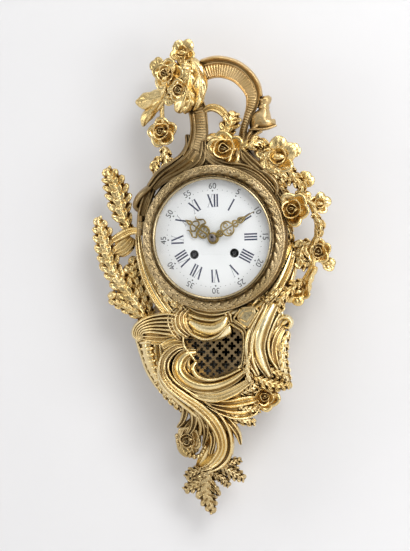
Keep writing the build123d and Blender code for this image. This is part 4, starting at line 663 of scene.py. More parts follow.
arch_line = [
    (189, 160, 18, 70, 80), (196, 149, 21, 58, 76), (199, 136, 20, 46, 70), (199, 123, 19, 42, 65),
    (197, 109, 20, 38, 62), (192, 96, 20, 36, 60), (193, 82, 21, 35, 59), (203, 71, 22, 35, 59),
    (219, 67.5, 22, 35, 59), (235, 71.5, 22, 35, 58), (246, 81, 20, 36, 58), (252.5, 93, 17, 37, 57),
    (252, 105, 13, 37, 57), (248, 116, 9, 38, 57), (244, 128, 8, 42, 60), (242, 142, 10, 46, 66),
]
casting("crest_scroll", antique_gilt, [
    strip("foot_web", [(205, 148, 8, 62, 73), (206, 157, 15, 62, 75), (206, 167, 22, 62, 76)], rounded, 12, 9),
    strip("arch", arch_line, woven_band(235), 230, 25),
    strip("arch_rim", [(200, 61, 4, 44, 62), (217, 57.5, 5, 44, 63), (236, 61.5, 5, 44, 62), (250, 71.5, 5, 44, 61),
        (258.5, 84, 5, 44, 60), (261, 97, 5, 44, 58)], rounded, 30, 7),
    strip("foot_field", [(198, 152, 20, 66, 77), (190, 162, 20, 68, 79), (177, 171, 17, 70, 80),
        (164, 178, 12, 70, 79), (153, 189, 7, 70, 78)], reeded((-0.78, 0.22, 1.0), (-0.3, 0.26, 0.6),
        (0.2, 0.24, 0.75), (0.74, 0.26, 0.95)), 34, 21),
    strip("foot_outer", [(187, 134, 5, 48, 66), (188, 146, 8, 54, 72), (182, 157, 9, 60, 76), (171, 165, 9, 66, 79),
        (159, 174, 9, 68, 80), (149, 187, 7, 68, 78)], low_reeds, 30, 13),
    strip("foot_right", [(205, 148, 7, 66, 77), (211, 159, 11, 70, 80), (225, 166, 12, 70, 81),
        (243, 168, 11, 70, 81), (258, 175, 10, 70, 81), (271, 188, 9, 68, 80), (281, 204, 7, 66, 78)], three_reeds,
        40, 15),
    strip("shoulder_right", [(238, 147, 9, 66, 76), (247, 159, 14, 66, 78), (259, 170, 14, 66, 79),
        (271, 181, 13, 64, 78), (281, 196, 11, 62, 76), (288, 214, 8, 60, 74)], three_reeds, 34, 15),
    strip("cheek_left", [(204, 140, 6, 62, 74), (203, 155, 10, 66, 78), (197, 166, 11, 68, 80),
        (184, 174, 8, 70, 80)], low_reeds, 22, 11),
    strip("cheek_right", [(240, 146, 8, 62, 75), (239, 157, 12, 66, 78), (247, 166, 10, 68, 80),
        (262, 176, 6, 70, 80)], low_reeds, 22, 11),
    strip("shoulder_left", [(163, 174, 9, 60, 73), (152, 187, 12, 58, 75), (146, 202, 13, 56, 75),
        (142, 218, 11, 56, 75), (140, 236, 7, 56, 75)], three_reeds, 30, 15),
    strip("curl_right", [(258, 170, 6, 66, 77), (268, 175, 9, 66, 80), (276, 184, 10, 64, 80),
        (275, 195, 9, 64, 78), (267, 199, 7, 64, 76), (263, 192, 5, 64, 74)], rounded, 26, 9),
    strip("curl_left", [(157, 184, 6, 60, 74), (147, 190, 9, 60, 77), (139, 198, 9, 56, 74), (136, 207, 7, 54, 70),
        (142, 212, 5, 56, 70)], rounded, 24, 9),
])

casting("crest_trumpet", trumpet_gilt, [
    strip("collar", [(264, 96, 10, 42, 54), (264.5, 98.5, 16, 40, 57), (264.5, 101, 15, 40, 57),
        (264, 104, 12, 41, 56), (263.5, 107, 14, 40, 57), (263, 109.5, 13, 41, 56)], rounded, 24, 11),
    strip("flare", [(264.5, 108, 10, 41, 56), (263.5, 113, 16, 39, 58), (262, 118, 25, 37, 60),
        (262.5, 123, 29, 37, 61), (263.5, 128, 28, 38, 59)],
        lambda u, s: 0.4 + 0.6 * math.sqrt(max(0.0, 1 - u * u)) - 0.12 * s * math.exp(-((u - 0.3) / 0.3) ** 2), 24,
        17),
    strip("flare_tail", [(260, 127, 13, 42, 61), (254, 132, 12, 44, 62), (249, 139, 10, 48, 63),
        (247, 146, 8, 50, 65)], low_reeds, 16, 11),
    strip("flare_lip", [(248, 130, 3, 50, 62), (256, 129.5, 4, 48, 64), (267, 128.5, 4, 46, 64),
        (277, 125, 3, 44, 61)], rounded, 22, 7),
])

casting("crest_bouquet", leaf_gilt, [
    leaf("leaf_far", [(184, 82, 12, 52, 62), (174, 89, 14, 48, 60), (164, 95, 16, 46, 59), (152, 99, 20, 44, 58),
        (143, 102, 17, 44, 54), (135, 102, 4, 46, 50)], 3, 0.3, 0.07),
    leaf("leaf_low", [(168, 92, 8, 46, 58), (160, 102, 11, 45, 58), (151, 112, 13, 44, 56), (145, 119, 11, 44, 54),
        (143, 127, 4, 44, 50)], 2, 0.26, 0.07),
    leaf("leaf_drop", [(163, 94, 6, 46, 56), (162, 106, 6, 46, 54), (162, 118, 5, 46, 53)], 2, cut=0.1),
    leaf("leaf_heart", [(190, 70, 12, 50, 66), (188, 84, 20, 52, 69), (184, 99, 23, 54, 69), (177, 113, 8, 54, 64)],
        3, 0.24),
    leaf("leaf_strap", [(190, 58, 10, 48, 62), (198, 70, 15, 52, 67), (200, 86, 17, 54, 69), (198, 99, 14, 54, 68),
        (193, 111, 5, 54, 66)], 3, 0.28, 0.08),
    leaf("leaf_blade", [(186, 84, 6, 56, 71), (190, 96, 11, 56, 72), (189, 106, 9, 56, 71), (184, 114, 4, 56, 68)],
        2, 0.16, 0.06),
    leaf("leaf_fold", [(176, 62, 11, 52, 65), (167, 74, 12, 54, 68), (165, 88, 10, 52, 64), (161, 100, 4, 50, 58)],
        3),
    leaf("leaf_curl", [(190, 90, 10, 58, 70), (190, 102, 12, 58, 71), (184, 112, 7, 58, 68)], 3),
    strip("neck_cup", [(183, 44, 12, 44, 56), (184, 56, 18, 44, 58), (185, 68, 14, 46, 62)], fluted(4), 14, 13),
], [
    bloom(184.5, 54.5, 50, 14.5, "mouth", (-0.1, 0.25), 3),
    bloom(170, 76, 54, 17, "rose", (-0.2, 0.1), 5, 150),
    bloom(160, 67, 48, 10, "puff", (-0.3, 0.2), 6, 130),
    bloom(191, 72, 58, 11, "puff", (0.1, 0.1), 9, 200),
    bloom(180, 90, 58, 12, "rose", (0.0, -0.1), 8, 30),
    bloom(186, 104, 58, 9, "puff", (0.1, -0.1), 7, 250),
    bloom(171, 97, 54, 9, "puff", (-0.2, -0.1), 12, 220),
])

casting("blossom_drop", leaf_gilt, [
    strip("stem", [(161, 93, 6, 47, 55), (162, 106, 5, 46, 53), (163, 124, 5, 46, 53)], rounded, 12, 5),
    acanthus("bell", [(163, 145, 9, 45, 55), (165, 153, 15, 44, 57), (167, 163, 13, 46, 58), (168, 172, 6, 50, 58)],
        3, 11),
    acanthus("calyx", [(160, 156, 6, 46, 54), (156, 163, 12, 46, 57), (157, 171, 12, 48, 58),
        (163, 180, 6, 54, 62)], 3, 12),
], [
    bloom(164.5, 133, 46, 16, "rose", (-0.1, 0.1), 11, 100),
])

casting("centre_rose", leaf_gilt, [
    strip("rose_stem", [(203, 111, 7, 48, 58), (211, 107.5, 9, 50, 61), (220, 110, 10, 54, 65),
        (227, 118, 9, 58, 69), (230, 128, 8, 62, 72)], high_reeds, 26, 9),
    acanthus("bud_cup", [(224, 145, 10, 62, 73), (227, 132, 20, 60, 74), (231, 122, 19, 60, 73),
        (236, 113, 6, 60, 68)], 4, 21),
    acanthus("ribbon", [(240, 149, 10, 70, 78), (250, 145, 14, 68, 79), (259, 143, 14, 64, 76),
        (266, 147, 8, 62, 74)], 3, 22),
    leaf("rose_leaf", [(224, 140, 9, 68, 78), (214, 137, 11, 66, 77), (207, 142, 6, 64, 74)], 2),
], [
    bloom(227, 150, 68, 19, "rose", (0.0, 0.05), 21, 170),
    bloom(231, 124, 62, 9, "puff", (0.0, 0.3), 22, 80),
])


# ---- Right garland

casting("garland_flower", leaf_gilt, [
    acanthus("garland_leaf_a", [(262, 152, 10, 70, 77), (270, 166, 16, 70, 78), (282, 174, 14, 68, 78),
        (291, 183, 7, 66, 76)], 4, 31),
    acanthus("garland_leaf_b", [(284, 166, 13, 66, 77), (293, 175, 14, 64, 78), (301, 187, 12, 64, 76),
        (299, 198, 8, 66, 77)], 4, 32),
    acanthus("garland_leaf_c", [(274, 174, 13, 70, 77), (281, 188, 14, 60, 74), (286, 202, 9, 56, 72)], 4, 33),
    leaf("garland_leaf_d", [(270, 150, 8, 70, 79), (264, 160, 12, 70, 79), (264, 171, 12, 70, 79),
        (274, 179, 6, 70, 78)], 3),
], [
    bloom(280, 158, 68, 19.5, "mouth", (0.0, 0.1), 31, 60),
    bloom(266, 152, 66, 11, "puff", (0.0, 0.2), 33, 150),
    bloom(292, 152, 64, 9, "puff", (0.2, 0.2), 36, 30),
    bloom(285, 172, 68, 10, "puff", (0.1, -0.1), 35, 300),
    bloom(304, 181, 64, 10, "puff", (0.3, 0.1), 34, 30),
])

casting("garland_roses", leaf_gilt, [
    strip("stem_a", [(301, 196, 7, 64, 76), (309, 202, 7, 66, 76), (316, 206, 6, 66, 76)], rounded, 10, 5),
    strip("stem_b", [(311, 203, 7, 64, 76), (317, 220, 7, 62, 73), (317, 238, 7, 62, 72)], fluted(2), 18, 9),
    acanthus("stem_c", [(288, 206, 12, 62, 77), (287, 222, 12, 58, 73), (291, 240, 8, 54, 68)], 4, 41),
    acanthus("rose_leaf_b", [(312, 212, 8, 64, 73), (320, 224, 11, 62, 73), (319, 236, 6, 62, 72)], 3, 42),
    strip("stem_back", [(279, 196, 6, 60, 72), (281, 212, 8, 58, 72), (284, 232, 8, 54, 68)], rounded, 14, 5),
], [
    bloom(294, 210, 70, 17.5, "rose", (0.0, 0.05), 41, 200),
    bloom(302, 199, 64, 10, "puff", (0.1, 0.2), 43, 60),
    bloom(319, 204, 62, 11.5, "mouth", (0.3, 0.1), 42, 50),
])

casting("garland_tail", leaf_gilt, [
    strip("stem_d", [(317, 236, 7, 60, 70), (313, 248, 8, 58, 70), (312, 266, 7, 58, 68), (304, 281, 7, 58, 68)],
        fluted(2), 20, 9),
    acanthus("dark_leaf", [(312, 241, 9, 58, 68), (303, 246, 18, 56, 68), (300, 258, 17, 56, 68),
        (306, 268, 8, 56, 66)], 4, 51),
    acanthus("low_leaf", [(303, 280, 9, 58, 70), (292, 288, 13, 58, 73), (282, 297, 16, 60, 77),
        (275, 311, 9, 62, 77)], 5, 52),
    leaf("side_leaf", [(316, 266, 7, 58, 68), (309, 280, 10, 58, 70), (308, 292, 6, 58, 68)], 3),
], [
    bloom(318, 251, 58, 13.5, "rose", (0.2, 0.0), 51, 20),
    bloom(327, 263, 56, 8.5, "puff", (0.4, -0.1), 52, 330),
    bloom(298, 291, 58, 14, "mouth", (0.1, -0.1), 53, 240),
    bloom(278, 302, 64, 12, "mouth", (0.0, 0.1), 54, 130),
    bloom(309, 257, 58, 8, "puff", (0.0, 0.1), 55, 180),
])


# ---- Left branch

casting("left_leaf_branch", leaf_gilt, [
    acanthus("tall_leaf", [(131, 233, 10, 44, 56), (123, 216, 24, 40, 55), (119, 199, 27, 38, 53),
        (114, 183, 22, 38, 51), (107, 169, 8, 40, 46)], 7, 61),
    acanthus("outer_leaf", [(124, 294, 10, 44, 56), (114, 272, 21, 42, 55), (107, 253, 23, 40, 53),
        (103, 235, 20, 38, 51), (98, 218, 7, 40, 46)], 8, 62),
    acanthus("low_leaf_left", [(148, 321, 11, 50, 62), (134, 301, 21, 46, 60), (122, 285, 22, 44, 58),
        (111, 271, 16, 42, 52), (101, 263, 6, 42, 48)], 6, 63),
    acanthus("inner_leaf", [(153, 317, 10, 46, 58), (142, 297, 21, 42, 54), (133, 276, 20, 40, 52),
        (135, 257, 7, 40, 48)], 6, 64),
    acanthus("foot_leaf", [(150, 322, 10, 52, 63), (135, 312, 15, 50, 62), (122, 304, 14, 46, 57),
        (110, 299, 7, 44, 52)], 5, 65),
    strip("link", [(112, 241, 8, 42, 52), (122, 235, 10, 46, 56), (131, 231, 9, 50, 60), (143, 231, 7, 58, 67)],
        high_reeds, 18, 9),
    strip("fan", [(114, 253, 10, 42, 52), (121, 249, 19, 42, 55), (128, 243, 18, 42, 55), (132, 237, 9, 44, 52)],
        fluted(5), 20, 17),
    strip("knob", [(108, 298, 6, 42, 52), (112, 296, 11, 40, 55), (117, 293, 9, 42, 53)], rounded, 10, 7),
    strip("strut", [(137, 199, 12, 48, 62), (143, 206, 14, 50, 66), (143, 218, 10, 54, 70), (142, 230, 7, 58, 72)],
        rounded, 16, 7),
])

casting("left_rim_scroll", bright_gilt, [
    strip("rim_band", [(138, 233, 6, 58, 75), (140, 252, 9, 60, 78), (145, 271, 12, 62, 80), (153, 289, 14, 62, 81),
        (162, 304, 14, 62, 81), (173, 318, 10, 64, 80), (181, 328, 6, 66, 78)], reeded((-0.72, 0.28, 1.0),
        (0.0, 0.5, 0.75), (0.72, 0.28, 1.0)), 40, 17),
    strip("rim_band_inner", [(145, 230, 6, 62, 78), (148, 252, 9, 66, 80), (155, 272, 11, 68, 82),
        (165, 288, 12, 70, 83), (176, 301, 10, 70, 83), (186, 312, 6, 70, 80)], low_reeds, 36, 13),
    acanthus("rim_leaf", [(152, 270, 6, 70, 80), (160, 285, 12, 72, 84), (170, 298, 12, 74, 85),
        (182, 307, 7, 74, 84)], 5, 71),
    acanthus("rim_leaf_b", [(150, 238, 5, 68, 79), (149, 252, 9, 70, 81), (154, 267, 6, 70, 82)], 4, 72),
])


# ---- Right palm leaf and the apron under the dial

casting("right_palm_leaf", bright_gilt, [
    strip("palm", [(293, 240, 5, 40, 62), (288, 256, 17, 42, 72), (280, 273, 22, 46, 78), (270, 290, 23, 52, 81),
        (260, 302, 19, 58, 82), (248, 312, 11, 64, 82)], reeded((-0.8, 0.2, 1.0), (-0.2, 0.5, 0.7), (0.5, 0.3, 0.6),
        (0.86, 0.15, 1.0)), 40, 21),
    strip("palm_edge", [(295, 252, 5, 34, 52), (294, 270, 8, 36, 58), (289, 285, 8, 42, 64), (281, 300, 7, 50, 70)],
        rounded, 20, 7),
    strip("palm_back", [(285, 214, 8, 50, 66), (286, 234, 12, 46, 66), (283, 252, 12, 46, 68),
        (277, 268, 10, 52, 72)], fluted(2), 24, 11),
    acanthus("palm_frill", [(283, 286, 8, 58, 76), (275, 293, 13, 60, 80), (267, 299, 12, 62, 82),
        (261, 302, 6, 64, 82)], 4, 81),
])

apron_strips = [
    strip("apron_web", [(218, 312, 8, 62, 79), (230, 313, 12, 62, 79), (240, 309, 10, 62, 79)], rounded, 12, 7),
    strip("apron_bed", [(184, 318, 26, 66, 76), (199, 324, 32, 66, 78), (214, 326, 34, 66, 78),
        (229, 321, 28, 66, 78)], rounded, 18, 11),
    strip("apron_top", [(186, 305, 5, 68, 80), (199, 311, 7, 68, 83), (214, 313, 8, 68, 84), (228, 310, 7, 68, 83),
        (239, 303, 5, 68, 80)], two_reeds, 34, 11),
    strip("apron_mid", [(188, 314, 5, 68, 80), (200, 318.5, 6, 68, 83), (214, 320, 6, 68, 84),
        (228, 316, 5, 68, 82)], rounded, 26, 9),
    strip("apron_roll", [(189, 321, 8, 68, 82), (200, 327, 13, 68, 86), (213, 329, 15, 68, 88),
        (222, 324, 13, 68, 87), (227, 316, 7, 68, 84)], rounded, 36, 15),
    strip("apron_lip", [(185, 328, 4, 68, 82), (193, 335, 5, 68, 84), (205, 339.5, 5, 68, 85),
        (217, 336, 5, 68, 85), (225, 328, 4, 68, 84), (231, 323, 3, 68, 83)], rounded, 40, 7),
    strip("petal_scroll", [(188, 307, 8, 68, 80), (180, 315, 15, 68, 84), (181, 327, 16, 68, 86),
        (190, 336, 9, 68, 84)], fluted(4), 28, 21),
    strip("petal_back", [(178, 306, 7, 66, 79), (170, 316, 11, 66, 81), (172, 329, 12, 66, 82),
        (180, 340, 7, 66, 80)], fluted(3), 26, 15),
    strip("cove", [(225, 308, 8, 68, 81), (228, 315, 9, 68, 83), (231, 323, 6, 68, 82)], two_reeds, 14, 9),
    strip("panel_bed", [(248, 306, 14, 68, 87), (248, 311, 20, 68, 87.4), (245, 318, 20, 68, 87.4),
        (246.5, 328, 5, 68, 87)], lambda u, s: 0.95, 12, 7),
]
panel_outlines = (
    (89.4, 3.2, [(233.5, 319), (240.5, 308), (254.5, 306.5), (258.5, 311), (247, 329)]),
    (88.8, 1.9, [(238.5, 318.5), (243.5, 311.5), (252, 310.5), (253.5, 312.5), (246.5, 322.5)]),
)
for front, width, corners in panel_outlines:
    for (x0, y0), (x1, y1) in zip(corners, corners[1:] + corners[:1]):
        ends = [(x0, y0, width, 68, front), (x1, y1, width, 68, front)]
        apron_strips.append(strip("panel_edge", ends, rounded, 5, 7))
casting("apron_moulding", lit_gilt, apron_strips)


# ---- Cartouche

scroll_face = reeded((-0.84, 0.16, 1.0), (0.0, 0.68, 0.9), (0.84, 0.16, 1.0))
casting("grille_scroll", bright_gilt, [
    strip("volute_bed", [(192, 352, 9, 60, 76), (187, 363, 13, 60, 77), (191, 375, 12, 60, 77)], rounded, 14, 7),
    strip("inner_band", [(197, 352, 6, 68, 78), (187, 354, 11, 68, 82), (180, 361, 14, 68, 84),
        (179, 371, 15, 68, 86), (186, 380, 15, 68, 87), (199, 386, 15, 68, 87), (215, 386, 14, 68, 86),
        (231, 380, 12, 68, 84), (246, 370, 7, 68, 81)], scroll_face, 60, 21),
    strip("inner_lip", [(197, 361, 5, 70, 84), (193, 368, 7, 70, 87), (197, 376, 7, 70, 88), (209, 380, 6, 70, 87),
        (224, 377, 5, 70, 85), (241, 369, 4, 70, 82)], rounded, 36, 9),
    strip("lower_band", [(184, 386, 7, 68, 80), (197, 394, 11, 68, 84), (215, 397, 13, 68, 84),
        (233, 391, 12, 68, 83), (251, 380, 8, 66, 79)], reeded((-0.6, 0.38, 1.0), (0.05, 0.3, 0.7),
        (0.65, 0.35, 0.9)), 40, 15),
    strip("frame_left", [(183, 335, 4, 68, 80), (184, 346, 5, 68, 80), (190, 354, 5, 68, 81),
        (196, 362, 4, 68, 81)], rounded, 18, 7),
    strip("frame_right", [(228, 320, 5, 68, 80), (236, 325, 8, 68, 82), (244, 332, 7, 68, 81),
        (244.5, 350, 5, 68, 80), (242, 369, 4, 68, 80)], two_reeds, 30, 11),
])

shell_strips = [
    strip("shell_bed", [(181, 331, 18, 66, 77), (166, 331, 28, 64, 78), (149, 331, 27, 56, 73),
        (137, 332, 17, 48, 64)], fluted(7), 24, 43),
]
for k in range(6):
    t = k / 5
    shell_strips.append(strip(f"shell_rib_{k}", [
        (183 - 4 * t, 317 + 19 * t, 4.4, 66, 80 - 2 * t), (167, 314 + 20 * t, 5.2, 64, 83 - 3 * t),
        (149 + 3 * t, 317 + 15 * t, 5.4, 56, 79 - 3 * t), (136 + 7 * t, 325 + 8 * t, 5.0, 48, 71 - 1 * t),
        (133 + 9 * t, 335 + 2 * t, 4.2, 46, 66), (140 + 6 * t, 342 - 2 * t, 3.2, 46, 62 + 2 * t)], rounded, 26, 7))
shell_strips += [
    strip("roll_bed", [(147, 339, 15, 44, 65), (149, 354, 15, 44, 66), (153, 367, 14, 44, 65),
        (159, 379, 12, 44, 63), (169, 392, 8, 44, 60)], rounded, 22, 9),
    strip("shell_bank", [(158, 338, 10, 52, 66), (158, 352, 13, 50, 66), (162, 368, 13, 50, 66),
        (172, 384, 11, 50, 66), (186, 399, 7, 50, 66)], two_reeds, 30, 13),
    strip("shell_edge", [(136, 338, 4, 44, 56), (141, 353, 5, 44, 57), (147, 370, 5, 44, 57), (156, 385, 5, 44, 57),
        (168, 397, 5, 44, 56), (178, 406, 4, 46, 56)], rounded, 30, 7),
    acanthus("shell_leaf", [(156, 380, 9, 46, 60), (165, 391, 12, 46, 62), (174, 401, 11, 46, 61),
        (182, 410, 6, 46, 58)], 5, 91),
    strip("shell_inner", [(184, 343, 8, 68, 79), (172, 343, 12, 68, 80), (162, 348, 10, 66, 78)], fluted(3), 14,
        13),
]
roll_line, _ = even_steps([(147, 342), (149, 354), (153, 367), (159, 379), (167, 390)], 9)
for k, row in enumerate(roll_line):
    t = k / 8
    wide = 8.5 - 3.6 * t
    shell_strips.append(strip(f"shell_roll_{k}", [
        (row[0] - wide, row[1] + 1.0 + 2 * t, 4.0, 46, 57), (row[0] - 0.5 * wide, row[1] + 0.4, 7.4 - t, 46, 65),
        (row[0], row[1], 8.0 - t, 46, 69 - 2 * t), (row[0] + 0.6 * wide, row[1] - 0.2 - t, 7.0 - t, 46, 68 - 2 * t),
        (row[0] + wide, row[1] - 1.0 - 2 * t, 3.8, 48, 64)], rounded, 9, 7))
casting("left_shell", bright_gilt, shell_strips)

casting("right_twin_scroll", lit_gilt, [
    strip("twin_web", [(238, 366, 10, 60, 75), (247, 372, 15, 58, 74), (257, 378, 12, 56, 72)], rounded, 12, 7),
    acanthus("twin_join_leaf", [(251, 352, 5, 68, 84), (248, 362, 9, 68, 86), (248, 374, 9, 66, 84),
        (252, 386, 4, 62, 80)], 4, 102),
    strip("twin_bed", [(272, 306, 26, 52, 63), (268, 324, 40, 50, 62), (266, 345, 44, 48, 62),
        (270, 366, 36, 48, 60), (277, 384, 18, 46, 56)], lambda u, s: 0.9 - 0.3 * abs(u + 0.2) ** 2, 26, 9),
    strip("twin_inner", [(266, 303, 7, 68, 82), (260, 316, 10, 68, 85), (253, 330, 12, 68, 86),
        (249, 347, 12, 68, 85), (251, 362, 10, 68, 83), (258, 376, 6, 68, 79)], two_reeds, 40, 15),
    strip("twin_middle", [(274, 303, 12, 66, 80), (266, 317, 17, 66, 85), (260, 332, 18, 66, 87),
        (258, 347, 16, 66, 85), (262, 362, 13, 64, 82), (270, 377, 7, 58, 76)], scroll_face, 40, 19),
    strip("twin_groove", [(280, 313, 4, 58, 74), (273, 326, 5, 58, 78), (268, 342, 6, 58, 78),
        (270, 357, 5, 56, 76), (278, 370, 4, 52, 72)], rounded, 30, 7),
    strip("twin_curl", [(277, 326, 4, 50, 66), (279, 319, 6, 46, 66), (286, 317, 7, 46, 67), (291, 322, 7, 46, 66),
        (288, 328, 5, 46, 64), (283, 326, 3, 46, 62)], rounded, 26, 9),
    strip("twin_eye", [(280, 327, 6, 44, 61), (285, 322, 9, 44, 63), (290, 319, 5, 44, 61)], rounded, 10, 7),
    strip("twin_outer", [(283, 326, 9, 46, 66), (277, 336, 12, 50, 71), (274, 348, 13, 52, 72),
        (276, 362, 12, 50, 70), (283, 380, 8, 46, 62)], fluted(3), 34, 15),
    acanthus("twin_leaf", [(289, 330, 7, 44, 62), (284, 343, 14, 46, 67), (282, 358, 15, 46, 67),
        (285, 374, 12, 44, 63), (290, 388, 5, 42, 56)], 7, 101),
])

casting("tail_scroll", bright_gilt, [
    strip("neck", [(186, 346, 6, 68, 80), (175, 349, 10, 68, 84), (166, 358, 12, 68, 87), (164, 371, 13, 68, 88),
        (171, 384, 14, 68, 88), (185, 395, 15, 64, 86), (200, 405, 17, 56, 82), (214, 418, 19, 44, 78),
        (223, 433, 19, 38, 71), (225, 449, 18, 35, 63), (219, 461, 17, 34, 56), (208, 469, 10, 32, 50),
        (198, 470, 5, 32, 46)], reeded((-0.72, 0.3, 1.0), (-0.1, 0.32, 0.85), (0.35, 0.16, 0.55),
        (0.75, 0.27, 0.9)), 84, 25),
    strip("neck_shadow", [(158, 366, 5, 56, 72), (163, 383, 8, 56, 73), (177, 397, 10, 54, 71),
        (193, 410, 11, 48, 68), (206, 423, 10, 40, 62), (213, 439, 8, 36, 56), (210, 455, 5, 34, 48)], two_reeds,
        46, 13),
    strip("spoon", [(214, 432, 5, 40, 60), (210, 446, 13, 36, 55), (205, 457, 15, 34, 50), (197, 468, 5, 34, 46)],
        lambda u, s: 0.42 + 0.58 * abs(u) ** 2.2, 30, 13),
])

casting("lower_foliage", bright_gilt, [
    strip("fan_field", [(206, 402, 8, 60, 80), (219, 404, 20, 60, 79), (233, 404, 32, 56, 77),
        (244, 402, 36, 54, 74), (253, 400, 30, 52, 71), (259, 398, 12, 50, 64)],
        lambda u, s: (0.7 + 0.3 * abs(math.cos(2.6 * math.pi * (u + 1)))) * (1 - 0.16 * s * abs(u)), 30, 37),
    acanthus("sweep_tip_a", [(240, 394, 8, 58, 76), (250, 389, 13, 56, 75), (260, 383, 6, 54, 70)], 4, 111),
    acanthus("sweep_tip_b", [(238, 408, 8, 56, 74), (250, 409, 13, 54, 72), (260, 410, 6, 50, 66)], 4, 112),
    acanthus("sweep_b", [(222, 410, 9, 54, 74), (234, 416, 13, 52, 72), (245, 420, 12, 50, 68),
        (255, 423, 6, 48, 62)], 5, 113),
    strip("sweep_c", [(221, 414, 8, 48, 70), (231, 424, 10, 46, 68), (238, 434, 8, 44, 62), (241, 445, 3, 42, 56)],
        two_reeds, 22, 11),
    strip("sweep_e", [(220, 420, 6, 46, 68), (229, 433, 8, 42, 64), (232, 444, 6, 40, 60), (232, 455, 3, 40, 54)],
        rounded, 20, 9),
])

casting("lower_rose_right", leaf_gilt, [
    acanthus("corner_leaf", [(250, 374, 9, 58, 73), (262, 380, 16, 56, 72), (275, 384, 15, 52, 67),
        (289, 386, 6, 48, 60)], 6, 121),
    acanthus("corner_leaf_b", [(255, 364, 7, 60, 75), (267, 369, 12, 58, 72), (280, 373, 10, 52, 66),
        (290, 378, 5, 48, 58)], 5, 122),
    leaf("corner_leaf_c", [(258, 384, 8, 54, 68), (266, 390, 9, 52, 66), (277, 397, 5, 50, 60)], 3),
], [
    bloom(265, 395, 52, 16, "rose", (0.2, -0.1), 61, 200),
    bloom(255, 404, 50, 8, "puff", (0.0, -0.2), 62, 240),
])

fan_beads = []
bead_line, _ = even_steps([(177, 436), (180, 447), (189, 455), (200, 456), (205, 447)], 12)
for row in bead_line:
    fan_beads.append(nugget(2.6 * MM, from_view(row[0], row[1], 47), 1.1, 3))
casting("tail_blossom_left", low_gilt, [
    strip("strand_a", [(180, 396, 7, 50, 65), (185, 408, 9, 46, 64), (183, 420, 7, 44, 60), (177, 428, 3, 44, 54)],
        two_reeds, 22, 9),
    strip("strand_b", [(188, 402, 8, 52, 69), (194, 415, 10, 46, 66), (193, 427, 8, 42, 61), (187, 437, 3, 42, 56)],
        two_reeds, 22, 9),
    strip("strand_c", [(196, 408, 8, 50, 70), (204, 420, 10, 44, 66), (206, 433, 8, 40, 60), (203, 447, 3, 40, 53)],
        two_reeds, 22, 9),
    strip("strand_d", [(184, 404, 5, 54, 65), (195, 411, 6, 52, 65), (205, 419, 5, 48, 63)], rounded, 14, 5),
    strip("fan_back", [(194, 419, 9, 42, 56), (190, 432, 24, 40, 54), (189, 446, 26, 38, 52),
        (193, 455, 14, 38, 48)], fluted(5), 22, 21),
    strip("strand_e", [(192, 410, 5, 54, 66), (200, 423, 7, 48, 62), (200, 436, 6, 42, 58)], rounded, 16, 7),
], [
    bloom(190, 438, 45, 14, "rose", (-0.1, -0.2), 71, 120),
    fan_beads,
])

casting("tail_leaves", low_gilt, [
    acanthus("finial_main", [(212, 466, 15, 33, 48), (208, 477, 23, 32, 48), (206, 489, 22, 30, 46),
        (209, 501, 16, 30, 42), (213, 513, 5, 32, 38)], 6, 131),
    acanthus("finial_left_low", [(206, 476, 10, 32, 46), (197, 483, 16, 32, 45), (185, 490, 7, 32, 40)], 4, 132),
    acanthus("finial_left_high", [(205, 469, 9, 32, 46), (195, 472, 14, 32, 45), (186, 477, 6, 32, 40)], 4, 133),
    acanthus("finial_right", [(217, 466, 10, 34, 48), (230, 471, 16, 34, 48), (244, 479, 7, 34, 42)], 5, 134),
    acanthus("finial_right_high", [(222, 467, 8, 36, 48), (231, 463, 11, 36, 48), (241, 460, 5, 36, 42)], 4, 135),
    acanthus("finial_fill", [(213, 473, 9, 32, 46), (222, 478, 12, 32, 46), (229, 486, 5, 32, 40)], 4, 136),
    leaf("finial_low_right", [(209, 484, 8, 32, 45), (216, 490, 9, 32, 44), (220, 496, 4, 32, 40)], 3),
])

# ---- Front door


def turned(name, profile, segments=128):
    """A ring turned about the dial's middle from (radius, depth) points."""
    clear_selection()
    bpy.ops.mesh.primitive_circle_add(vertices=len(profile), radius=1, enter_editmode=False)
    obj = bpy.context.object
    for vertex, (radius, depth) in zip(obj.data.vertices, profile):
        vertex.co = (radius * MM, -depth * MM, DIAL_Z * MM)
    pick(obj)
    bpy.ops.object.mode_set(mode="EDIT")
    bpy.ops.mesh.select_all(action="SELECT")
    bpy.ops.mesh.spin(steps=segments, angle=2 * math.pi, center=(0, 0, DIAL_Z * MM), axis=(0, 1, 0))
    close_up(obj)
    obj.name = name
    bpy.ops.object.shade_smooth_by_angle(angle=math.radians(40))
    return obj


bezel_profile = [
    (62.6, 82.0), (62.6, 88.4), (61.6, 92.6), (61.2, 93.6), (61.8, 94.3), (62.6, 93.6), (63.0, 92.2), (64.0, 91.2),
    (65.2, 91.6), (66.4, 93.2), (68.2, 93.9), (70.2, 93.4), (71.6, 91.8), (72.0, 90.2), (72.9, 89.6), (73.2, 88.0),
    (72.6, 86.0), (73.0, 82.0),
]
bezel_body = turned("bezel_body", bezel_profile)


def chased_leaf(radii, angles, depth, width):
    """A small chased leaf that runs between two radii of the door's ring."""
    rows = []
    for t, w in ((0, 0.5), (0.35, 1.0), (0.7, 0.8), (1.0, 0.15)):
        radius = radii[0] + (radii[1] - radii[0]) * t
        angle = math.radians(angles[0] + (angles[1] - angles[0]) * t ** 0.8)
        front = depth + 0.5 * math.sin(math.pi * t)
        rows.append((radius * math.sin(angle), radius * math.cos(angle), width * w, depth - 3.6, front))
    return rows


def on_door(across, up, depth):
    """The place of a point laid out in millimetres about the dial's middle."""
    return Vector((across * MM, -depth * MM, (DIAL_Z + up) * MM))


